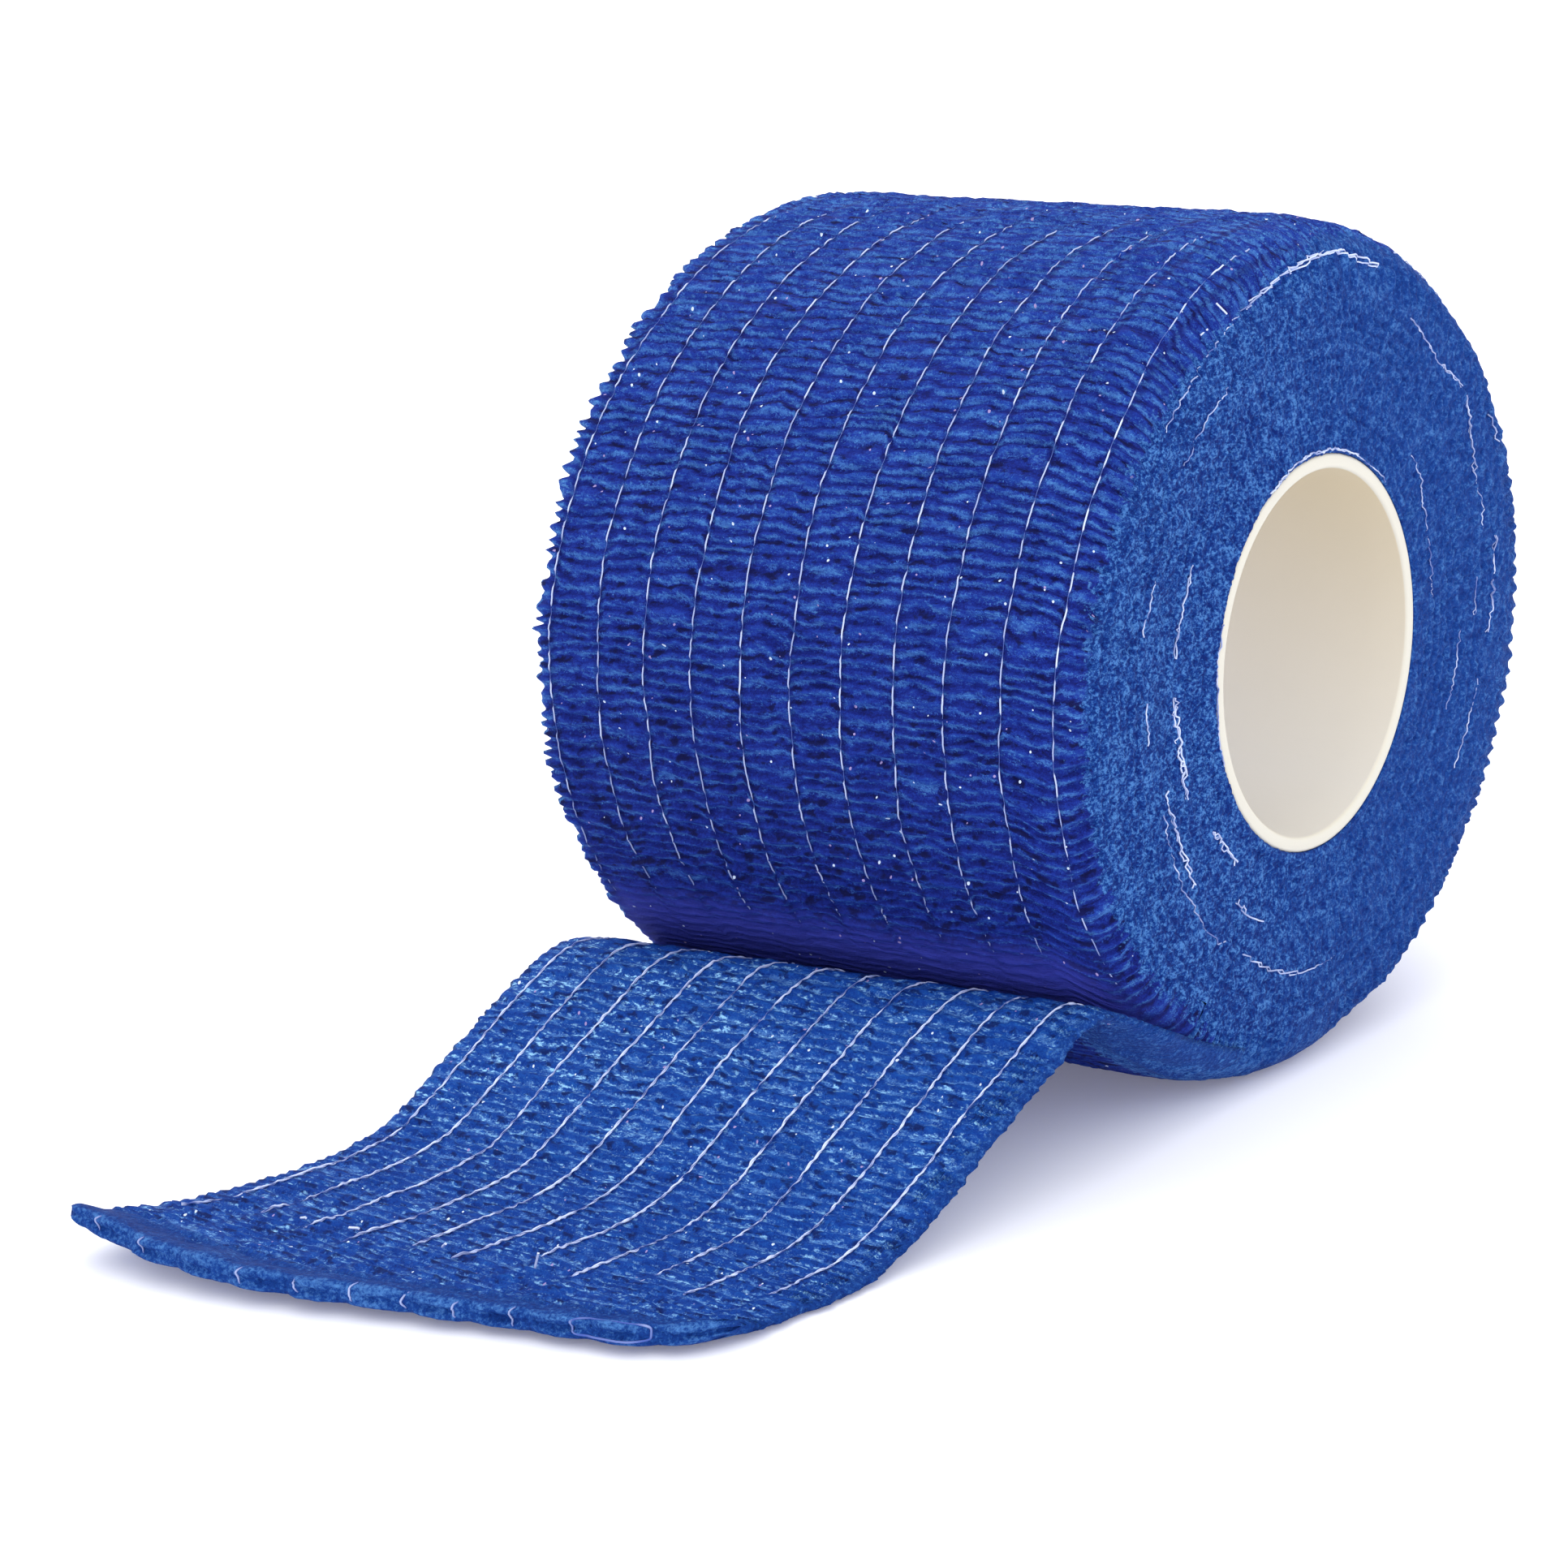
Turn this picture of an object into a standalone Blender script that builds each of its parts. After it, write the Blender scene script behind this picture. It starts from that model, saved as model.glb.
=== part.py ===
"""Self-adhering crepe bandage wound on a plastic core, its loose end peeled off and laid on a table.

Frame: the roll's axis runs along X and its near end is +X. The loose end runs towards -Y. +Z is up.
The origin is the middle of the flat spot that the roll stands on. Lengths are in millimetres here
and turned into metres when a mesh is made.
"""
import bpy
import bmesh
import math

for old in list(bpy.data.objects):
    bpy.data.objects.remove(old, do_unlink=True)

MM = 0.001

# ---- driving dimensions, mm -------------------------------------------------------------------
ROLL_HALF_DEPTH = 37.5      # half the roll along Y: the soft roll sags a little wider than high
ROLL_HALF_HEIGHT = 33.6     # half the roll along Z
AXIS_HEIGHT = 33.75         # low enough to press a small flat spot into the underside
TAPE_THICKNESS = 1.1

CREVICE_DEG = -44.5         # the loose end leaves the roll here, counted up from the front
PEEL_DEG = 313.5

ROLL_RIBS = 138             # crepe puckers round the roll
TONGUE_RIBS = 36
ROLL_RIB_RISE = 0.34
TONGUE_RIB_RISE = 0.17

CORE_OUTER = 15.6
CORE_WALL = 1.2
CORE_HALF_LENGTH = 23.4
CORE_RIM = 0.35
CORE_SIDES = 72
BORE_GAP = 0.3              # free space between the core and the first turn

FAR_SLIP_DEG = -3.5         # the far side of the loose end leaves the roll a little lower
FAR_SQUASH = 0.86           # and its hump is flatter there,
FAR_REACH = 2.6             # but runs further out

# Sections across the width, from the far rim to the near rim. The turns bend in further at the near rim.
# roll: where the section lies on the roll; inset: how far it is drawn in by the shoulder;
# rib: share of the rib height; tape: place across the loose end, 0 at its far edge, 1 at its near edge
SECTIONS = (
    dict(roll=-23.7, inset=0.45, rib=0.90, tape=0.000, thick=0.60, drift=0.3),
    dict(roll=-22.6, inset=0.00, rib=1.20, tape=0.035, thick=1.00, drift=-0.1),
    dict(roll=-15.0, inset=0.00, rib=1.00, tape=0.170, thick=1.00, drift=0.4),
    dict(roll=-7.0, inset=0.00, rib=1.00, tape=0.350, thick=1.00, drift=-0.3),
    dict(roll=1.0, inset=0.00, rib=1.00, tape=0.530, thick=1.00, drift=0.3),
    dict(roll=9.0, inset=0.00, rib=1.00, tape=0.710, thick=1.00, drift=-0.4),
    dict(roll=16.0, inset=0.00, rib=1.00, tape=0.860, thick=1.00, drift=0.2),
    dict(roll=19.6, inset=0.25, rib=0.90, tape=0.930, thick=1.00, drift=-0.2),
    dict(roll=21.9, inset=1.40, rib=0.60, tape=0.975, thick=1.00, drift=0.0),
    dict(roll=23.2, inset=3.70, rib=0.25, tape=1.000, thick=0.70, drift=0.1),
)

# The underside of the loose end in side view, from the peel to the cut.
LOOSE_END = (
    dict(y=-26.05, z=9.15),
    dict(y=-28.40, z=10.95),
    dict(y=-30.20, z=11.80),
    dict(y=-32.20, z=11.80),
    dict(y=-34.60, z=10.90),
    dict(y=-38.40, z=9.00),
    dict(y=-42.60, z=6.75),
    dict(y=-46.60, z=4.45),
    dict(y=-50.40, z=2.30),
    dict(y=-54.00, z=0.75),
    dict(y=-57.50, z=0.10),
    dict(y=-61.50, z=0.00),
    dict(y=-66.00, z=0.00),
    dict(y=-71.00, z=0.10),
    dict(y=-76.00, z=0.45),
)

FLAT_START = -54.0          # from here on the loose end lies on the table
FLAT_SPOT_DEG = 9.0         # the puckers are pressed out this far each side of the roll's lowest line

# The loose end's two edges along X, by share of its length.
EDGES = (
    dict(run=0.10, far=-25.2, near=23.9),
    dict(run=0.50, far=-25.9, near=22.6),
    dict(run=0.80, far=-26.6, near=21.3),
    dict(run=1.00, far=-27.5, near=20.2),
)

# The cut across the loose end: how far out it lies and how high it is lifted.
CUT = (
    dict(tape=0.00, y=-82.3, lift=2.6),
    dict(tape=0.17, y=-82.2, lift=1.4),
    dict(tape=0.35, y=-81.2, lift=0.8),
    dict(tape=0.53, y=-78.6, lift=0.5),
    dict(tape=0.71, y=-76.3, lift=0.3),
    dict(tape=0.88, y=-74.3, lift=0.3),
    dict(tape=0.95, y=-72.6, lift=0.3),
    dict(tape=1.00, y=-69.5, lift=0.3),
)

# Rings on the end faces, from the shoulder to the bore: the felted turns stand a little in and out.
FACE_RINGS = (
    dict(share=0.30, out=0.20),
    dict(share=0.62, out=-0.10),
    dict(share=1.00, out=0.00),
)


def material(name, colour, roughness):
    mat = bpy.data.materials.new(name)
    mat.use_nodes = True
    shader = mat.node_tree.nodes["Principled BSDF"]
    shader.inputs["Base Color"].default_value = (*colour, 1.0)
    shader.inputs["Roughness"].default_value = roughness
    return mat


def ruffle(a, b):
    """Repeatable value from -1 to 1 that looks irregular."""
    w = math.sin(a * 12.9898 + b * 78.233) * 43758.5453
    return 2.0 * (w - math.floor(w)) - 1.0


def table_at(table, key, place, column):
    """Straight interpolation in a table sorted by the column key."""
    if place <= table[0][key]:
        return table[0][column]
    for low, high in zip(table, table[1:]):
        if place <= high[key]:
            share = (place - low[key]) / (high[key] - low[key])
            return low[column] + share * (high[column] - low[column])
    return table[-1][column]


def smooth_path(points, steps):
    """Points at even spacing on a smooth curve through the given (y, z) points."""
    fine = []
    padded = [points[0]] + list(points) + [points[-1]]
    for i in range(1, len(padded) - 2):
        p0, p1, p2, p3 = padded[i - 1:i + 3]
        for k in range(12):
            t = k / 12.0
            fine.append(tuple(
                0.5 * (2 * b + (c - a) * t + (2 * a - 5 * b + 4 * c - d) * t * t
                       + (3 * b - a - 3 * c + d) * t ** 3)
                for a, b, c, d in zip(p0, p1, p2, p3)))
    fine.append(points[-1])
    run = [0.0]
    for (y0, z0), (y1, z1) in zip(fine, fine[1:]):
        run.append(run[-1] + math.hypot(y1 - y0, z1 - z0))
    out = []
    seg = 0
    for k in range(steps + 1):
        goal = run[-1] * k / steps
        while seg < len(run) - 2 and run[seg + 1] < goal:
            seg += 1
        share = (goal - run[seg]) / (run[seg + 1] - run[seg])
        out.append(tuple(a + share * (b - a) for a, b in zip(fine[seg], fine[seg + 1])))
    return out


def roll_ring(section, index):
    """One turn's outline at a section, from the crevice round over the top to the peel."""
    count = 2 * ROLL_RIBS
    ring = []
    for j in range(count + 1):
        turn = j / count
        fade = min(1.0, min(j, count - j) / 3.0)
        wander = section["drift"] + 0.35 * math.sin(0.19 * j + 1.7 * index)
        place = turn + fade * wander * 0.5 / ROLL_RIBS
        slip = FAR_SLIP_DEG * (1.0 - section["tape"]) * (2.0 * turn - 1.0) ** 2
        degrees = CREVICE_DEG + (PEEL_DEG - CREVICE_DEG) * place + slip
        angle = math.radians(degrees)
        grow = TAPE_THICKNESS * (turn - 0.5) - section["inset"]
        rib = ROLL_RIB_RISE * section["rib"] * (1.0 if j % 2 else -1.0)
        rib *= fade * (1.0 + 0.35 * ruffle(j, index))
        rib *= 0.0 if abs(degrees - 270.0) < FLAT_SPOT_DEG else 1.0
        y = -(ROLL_HALF_DEPTH + grow + rib) * math.cos(angle)
        z = AXIS_HEIGHT + (ROLL_HALF_HEIGHT + grow + rib) * math.sin(angle)
        ring.append((y, max(z, 0.0)))
    return ring


def tongue_strip(section, index, root_top, root_under):
    """Top and underside of the loose end at a section, from the root to the cut."""
    count = 2 * TONGUE_RIBS
    tape = section["tape"]
    cut_y = table_at(CUT, "tape", tape, "y")
    lift = table_at(CUT, "tape", tape, "lift")
    stretch = (cut_y - FLAT_START) / (LOOSE_END[-1]["y"] - FLAT_START)
    squash = 1.0 - (1.0 - FAR_SQUASH) * (1.0 - tape)
    points = []
    for row in LOOSE_END:
        y = row["y"] if row["y"] > FLAT_START else FLAT_START + (row["y"] - FLAT_START) * stretch
        y -= FAR_REACH * (1.0 - tape) * min(1.0, row["z"] / 11.0)
        points.append((y, row["z"] * squash))
    path = smooth_path(points, count)
    shift = (root_under[0] - path[0][0], root_under[1] - path[0][1])
    top, under = [], []
    for j, (y, z) in enumerate(path):
        hold = max(0.0, 1.0 - j / 5.0)
        y += shift[0] * hold
        z += shift[1] * hold
        curl = max(0.0, (-60.0 - y) / (-60.0 - cut_y))
        z += lift * curl ** 2.2
        ahead = path[min(j + 1, count)]
        back = path[max(j - 1, 0)]
        dy, dz = ahead[0] - back[0], ahead[1] - back[1]
        size = math.hypot(dy, dz)
        ny, nz = dz / size, -dy / size
        fade = min(1.0, j / 4.0) * min(1.0, (count - j) / 2.0)
        rib = TONGUE_RIB_RISE * (1.0 if j % 2 else -1.0) * fade * (1.0 + 0.4 * ruffle(j, index + 31))
        thick = TAPE_THICKNESS * section["thick"]
        low = (y + ny * rib, z + nz * rib)
        high = (y + ny * (rib + thick), z + nz * (rib + thick))
        under.append((low[0], max(low[1], 0.0)))
        top.append(high)
    under[0] = root_under
    top[0] = root_top
    return top, under


def across(section, j, count):
    """Where a point of the loose end lies along X, widening from the roll to the flat tape."""
    run = j / (count - 1)
    far, near = table_at(EDGES, "run", run, "far"), table_at(EDGES, "run", run, "near")
    flat = far + section["tape"] * (near - far)
    share = min(1.0, j / 6.0)
    share = share * share * (3.0 - 2.0 * share)
    ripple = 0.18 * ruffle(j, 7) if section["tape"] in (0.0, 1.0) and j > 6 else 0.0
    return section["roll"] * (1.0 - share) + flat * share + ripple


def build_bandage():
    """The wound body and its loose end as one closed skin."""
    bm = bmesh.new()

    def vert(x, y, z):
        return bm.verts.new((x * MM, y * MM, z * MM))

    def quads(first, second):
        for a, b, c, d in zip(first, first[1:], second[1:], second):
            bm.faces.new((a, b, c, d))

    rings, tops, unders = [], [], []
    for index, section in enumerate(SECTIONS):
        outline = roll_ring(section, index)
        ring = [vert(section["roll"], y, z) for y, z in outline]
        top, under = tongue_strip(section, index, outline[0], outline[-1])
        count = len(top)
        rings.append(ring)
        tops.append([ring[0]] + [vert(across(section, j, count), *top[j]) for j in range(1, count)])
        unders.append([ring[-1]] + [vert(across(section, j, count), *under[j]) for j in range(1, count)])

    for k in range(len(SECTIONS) - 1):
        quads(rings[k], rings[k + 1])
        quads(tops[k + 1], tops[k])
        quads(unders[k], unders[k + 1])
        bm.faces.new((tops[k + 1][-1], unders[k + 1][-1], unders[k][-1], tops[k][-1]))
    for end in (0, -1):
        quads(tops[end], unders[end])

    bores = []
    bore = CORE_OUTER + BORE_GAP
    for end, side in ((0, -1.0), (-1, 1.0)):
        section = SECTIONS[end]
        last = rings[end]
        for row in FACE_RINGS:
            fresh = []
            for j, outer in enumerate(rings[end]):
                y, z = outer.co.y / MM, outer.co.z / MM - AXIS_HEIGHT
                size = math.hypot(y, z)
                reach = size + (bore - size) * row["share"]
                x = section["roll"] + side * row["out"]
                fresh.append(vert(x, y / size * reach, AXIS_HEIGHT + z / size * reach))
            quads(last + last[:1], fresh + fresh[:1])
            last = fresh
        bores.append(last)
    quads(bores[0] + bores[0][:1], bores[1] + bores[1][:1])

    bmesh.ops.recalc_face_normals(bm, faces=bm.faces)
    return finish("bandage", bm, material("blue_crepe", (0.03, 0.09, 0.35), 0.9))


def build_core():
    """Plain tube with a softened rim, turned about the roll's axis."""
    inner = CORE_OUTER - CORE_WALL
    outline = (
        (-CORE_HALF_LENGTH, CORE_OUTER - CORE_RIM), (-CORE_HALF_LENGTH + CORE_RIM, CORE_OUTER),
        (CORE_HALF_LENGTH - CORE_RIM, CORE_OUTER), (CORE_HALF_LENGTH, CORE_OUTER - CORE_RIM),
        (CORE_HALF_LENGTH, inner + CORE_RIM), (CORE_HALF_LENGTH - CORE_RIM, inner),
        (-CORE_HALF_LENGTH + CORE_RIM, inner), (-CORE_HALF_LENGTH, inner + CORE_RIM),
    )
    bm = bmesh.new()
    rows = []
    for side in range(CORE_SIDES):
        angle = 2.0 * math.pi * side / CORE_SIDES
        rows.append([bm.verts.new((x * MM, r * math.cos(angle) * MM,
                                   (AXIS_HEIGHT + r * math.sin(angle)) * MM)) for x, r in outline])
    for side, row in enumerate(rows):
        other = rows[(side + 1) % CORE_SIDES]
        for k in range(len(outline)):
            n = (k + 1) % len(outline)
            bm.faces.new((row[k], row[n], other[n], other[k]))
    bmesh.ops.recalc_face_normals(bm, faces=bm.faces)
    return finish("core", bm, material("cream_plastic", (0.85, 0.80, 0.68), 0.45))


def finish(name, bm, mat):
    mesh = bpy.data.meshes.new(name)
    bm.to_mesh(mesh)
    bm.free()
    obj = bpy.data.objects.new(name, mesh)
    mesh.materials.append(mat)
    bpy.context.scene.collection.objects.link(obj)
    return obj


build_bandage()
build_core()
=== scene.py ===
# A roll of self-adhering crepe bandage with its loose end peeled off and laid on the table.
# The roll's axis runs along X with its near end at +X. The loose end runs towards -Y.
# Sizes are in mm and turned into metres when a mesh is made, unless a comment says otherwise.
import bpy
import bmesh
import math
import numpy as np
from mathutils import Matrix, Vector
from mathutils.kdtree import KDTree


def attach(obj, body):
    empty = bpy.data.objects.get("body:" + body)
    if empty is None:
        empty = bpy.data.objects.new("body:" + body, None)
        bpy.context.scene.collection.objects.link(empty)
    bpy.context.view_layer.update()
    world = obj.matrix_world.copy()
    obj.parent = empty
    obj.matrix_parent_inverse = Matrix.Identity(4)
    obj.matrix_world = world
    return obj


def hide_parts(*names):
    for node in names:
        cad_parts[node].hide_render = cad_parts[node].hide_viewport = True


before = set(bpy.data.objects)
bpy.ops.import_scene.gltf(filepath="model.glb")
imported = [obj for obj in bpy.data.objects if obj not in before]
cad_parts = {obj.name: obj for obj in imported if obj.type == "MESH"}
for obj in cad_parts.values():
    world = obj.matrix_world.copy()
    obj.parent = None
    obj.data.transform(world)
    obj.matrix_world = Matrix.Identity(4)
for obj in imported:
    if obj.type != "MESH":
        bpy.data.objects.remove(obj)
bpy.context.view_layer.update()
mm = 0.001
bakeMap = "OFBake"        # the name of the UV map that each grid gets
weldGap = 0.002
tableGap = 0.02           # the cloth stays this far above the table
print("frame loaded")


# Small tools

def ease(share):
    share = np.clip(share, 0.0, 1.0)
    return share * share * (3.0 - 2.0 * share)


def ripple(x, y, seed):
    # Smooth noise from -1 to 1 with features one unit across, the same on each run
    size = 256
    heights = np.random.default_rng(seed).uniform(-1.0, 1.0, (size, size))
    x, y = np.broadcast_arrays(np.asarray(x, float), np.asarray(y, float))
    left = np.floor(x).astype(int)
    low = np.floor(y).astype(int)
    u = ease(x - left)
    v = ease(y - low)
    a = heights[left % size, low % size]
    b = heights[(left + 1) % size, low % size]
    c = heights[left % size, (low + 1) % size]
    d = heights[(left + 1) % size, (low + 1) % size]
    return (a * (1 - u) + b * u) * (1 - v) + (c * (1 - u) + d * u) * v


def smoothRun(points, steps=12):
    # A smooth curve through points (rows of an array), steps samples for each gap
    points = np.asarray(points, float)
    padded = np.concatenate([points[:1], points, points[-1:]])
    p0, p1, p2, p3 = padded[:-3], padded[1:-2], padded[2:-1], padded[3:]
    parts = []
    for t in np.arange(steps) / steps:
        parts.append(0.5 * (2 * p1 + (p2 - p0) * t + (2 * p0 - 5 * p1 + 4 * p2 - p3) * t ** 2
                            + (3 * p1 - p0 - 3 * p2 + p3) * t ** 3))
    curve = np.stack(parts, 1).reshape(-1, *points.shape[1:])
    return np.concatenate([curve, points[-1:]])


def lengthAlong(curve):
    gaps = np.sqrt(((curve[1:] - curve[:-1]) ** 2).sum(-1))
    start = np.zeros((1,) + gaps.shape[1:])
    return np.concatenate([start, np.cumsum(gaps, 0)])


def setAttribute(mesh, name, kind, values):
    field = {"FLOAT": "value", "FLOAT_VECTOR": "vector"}[kind]
    made = mesh.attributes.new(name, kind, "POINT")
    made.data.foreach_set(field, np.asarray(values, np.float32).ravel())


def addObject(name, data):
    made = bpy.data.objects.new(name, data)
    bpy.context.scene.collection.objects.link(made)
    return made


def meshFrom(bm, name):
    mesh = bpy.data.meshes.new(name)
    bm.to_mesh(mesh)
    bm.free()
    return mesh


def clothGrid(name, surface, weld=False):
    # A grid from the grid operator, each of its points moved to its place on a worked-out surface.
    # Its attributes: cloth is the place on the flat tape in mm, phase counts ridges, crest is the height
    # from pit to ridge, which the colour follows as painted shade and highlight, felt the share of brushed
    # edge, grit how rough it is, shine the painted sheen, and below zero the painted fill light above the
    # crevice.
    points, outward = surface["place"], surface["outward"]
    rows, columns = points.shape[:2]
    bm = bmesh.new()
    bm.loops.layers.uv.new(bakeMap)
    bmesh.ops.create_grid(bm, x_segments=columns - 1, y_segments=rows - 1, size=0.5, calc_uvs=True)
    mesh = meshFrom(bm, name)
    flat = np.empty(len(mesh.vertices) * 3, np.float32)
    mesh.vertices.foreach_get("co", flat)
    flat = flat.reshape(-1, 3)
    column = np.rint((flat[:, 0] + 0.5) * (columns - 1)).astype(int)
    row = np.rint((flat[:, 1] + 0.5) * (rows - 1)).astype(int)
    mesh.vertices.foreach_set("co", (points[row, column] * mm).astype(np.float32).ravel())
    setAttribute(mesh, "cloth", "FLOAT_VECTOR", surface["cloth"][row, column])
    for kind in ("phase", "crest", "felt", "grit", "shine"):
        values = np.broadcast_to(surface[kind], points.shape[:2])
        setAttribute(mesh, kind, "FLOAT", values[row, column])
    mesh.update()
    if weld:
        bm = bmesh.new()
        bm.from_mesh(mesh)
        bmesh.ops.remove_doubles(bm, verts=bm.verts, dist=weldGap * mm)
        bm.to_mesh(mesh)
        bm.free()
    # The faces point the same way as the outward directions that come with the grid
    middle = (rows // 2, columns // 2)
    alongRow = points[middle[0], middle[1] + 1] - points[middle]
    alongColumn = points[middle[0] + 1, middle[1]] - points[middle]
    if np.dot(np.cross(alongRow, alongColumn), outward[middle]) < 0:
        mesh.flip_normals()
    mesh.shade_smooth()
    return addObject(name, mesh)


def dress(piece, node, finish):
    piece.data.materials.clear()
    piece.data.materials.append(finish)
    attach(piece, "root")
    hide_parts(node)


# Materials

def linear(hexColour):
    # sRGB hex to the linear colour that a shader takes
    parts = []
    for i in (0, 2, 4):
        part = int(hexColour[i:i + 2], 16) / 255.0
        parts.append(part / 12.92 if part <= 0.04045 else ((part + 0.055) / 1.055) ** 2.4)
    return (*parts, 1.0)


def addNode(tree, kind, *inputs, out=0, **settings):
    # Adds a shader node with its settings and returns one of its outputs. The inputs are links or values for
    # its sockets in order, or one dictionary of them by socket
    made = tree.nodes.new("ShaderNode" + kind)
    for name, value in settings.items():
        setattr(made, name, value)
    bySocket = inputs[0] if inputs and isinstance(inputs[0], dict) else dict(enumerate(inputs))
    for socket, value in bySocket.items():
        if isinstance(value, bpy.types.NodeSocket):
            tree.links.new(value, made.inputs[socket])
        else:
            made.inputs[socket].default_value = value
    return made.outputs[out]


# Settings that many nodes share
colourMix = {"data_type": "RGBA", "out": 2}
smoothly = {"interpolation_type": "SMOOTHSTEP"}


def weightedSum(tree, total, *terms):
    # Adds each value times its weight to a total
    for value, weight in terms:
        total = addNode(tree, "Math", value, weight, total, operation="MULTIPLY_ADD")
    return total


def newMaterial(name, surface):
    made = bpy.data.materials.new(name)
    made.use_nodes = True
    shader = made.node_tree.nodes["Principled BSDF"]
    for socket, value in surface.items():
        shader.inputs[socket].default_value = value
    return made, made.node_tree, shader


def setStops(ramp, stops):
    # Gives a colour ramp its stops: place and sRGB hex colour
    steps = ramp.node.color_ramp.elements
    steps[0].position, steps[0].color = stops[0][0], linear(stops[0][1])
    steps[1].position, steps[1].color = stops[-1][0], linear(stops[-1][1])
    for position, hexColour in stops[1:-1]:
        steps.new(position).color = linear(hexColour)


outerLook = {
    "pit": "0B124F",          # painted shade, deep between two ridges
    "deep": "112073",
    "body": "19308B",
    "slope": "20449D",
    "ridge": "4D84C6",        # lit, broken line along each ridge
    "fleck": "5B98D2",
    "flecks": 0.34,           # share of the flecks that show
    "black": 0.85,            # strength of the painted shade in the open pits
    "line": 0.55,             # strength of the painted highlight along the ridge lines
    "paintedFill": "3D44AA",         # painted purple fill light, just above the crevice where the roll lies in shade
    "warp": 0.60,             # how much the ridge lines are bent
    "fold": 0.42,             # how much they show
    "glintPick": 0.52,        # above this share of the cells, a speck of latex glints
}
innerLook = {
    "pit": "072974",
    "deep": "0D388C",
    "body": "15469A",
    "slope": "205BAC",
    "ridge": "6BA0DE",
    "fleck": "91C8F2",
    "flecks": 0.85,
    "black": 0.68,
    "line": 0.40,
    "paintedFill": "16489D",
    "warp": 0.95,
    "fold": 0.32,
    "glintPick": 0.50,
}
clothLook = {
    "feltDark": "07236B",     # the cut edges of the turns, brushed up into felt
    "felt": "153F8B",
    "feltLight": "4A7DC0",
    # Painted shade in the open pits
    "black": "090B36",
    "glint": "D4E4FA",
    "warmGlint": "9F8FC6",
    "warmFrom": 0.86,         # above this share of the cells, a speck is warm
    "grainDraw": 1.3,         # the grains are drawn out this much along Y
    "speckCell": 1.0,         # mm from speck to speck
    "speckRadius": 0.14,
    "threadPitch": 4.56,
    "threadShade": 0.55,      # mm to each side of a thread that the painted shadow reaches
    "bump": 0.16,             # mm
}
# Noise: mm across and along the tape, or one size for a grain in space, then detail, roughness, distortion
clothNoise = {
    "wrinkle": ((1.5, 0.34), 3.0, 0.65, 0.6),
    "fibre": (0.15, 2.0, 0.6, 1.2),           # real fibres are 0.02 mm, drawn coarser so that they show
    "grain": (0.27, 2.0, 0.6, 0.0),           # grains of the felt
    "clump": (0.85, 2.0, 0.6, 0.0),
    "patch": ((2.6, 1.0), 2.0, 0.6, 0.0),
    "warp": ((0.9, 0.5), 2.0, 0.6, 0.0),
    "fleck": ((0.62, 0.22), 2.0, 0.7, 0.0),
    "pit": ((1.5, 0.85), 2.0, 0.6, 0.0),
    "gather": ((5.0, 3.2), 2.0, 0.6, 0.0),
}


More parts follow.
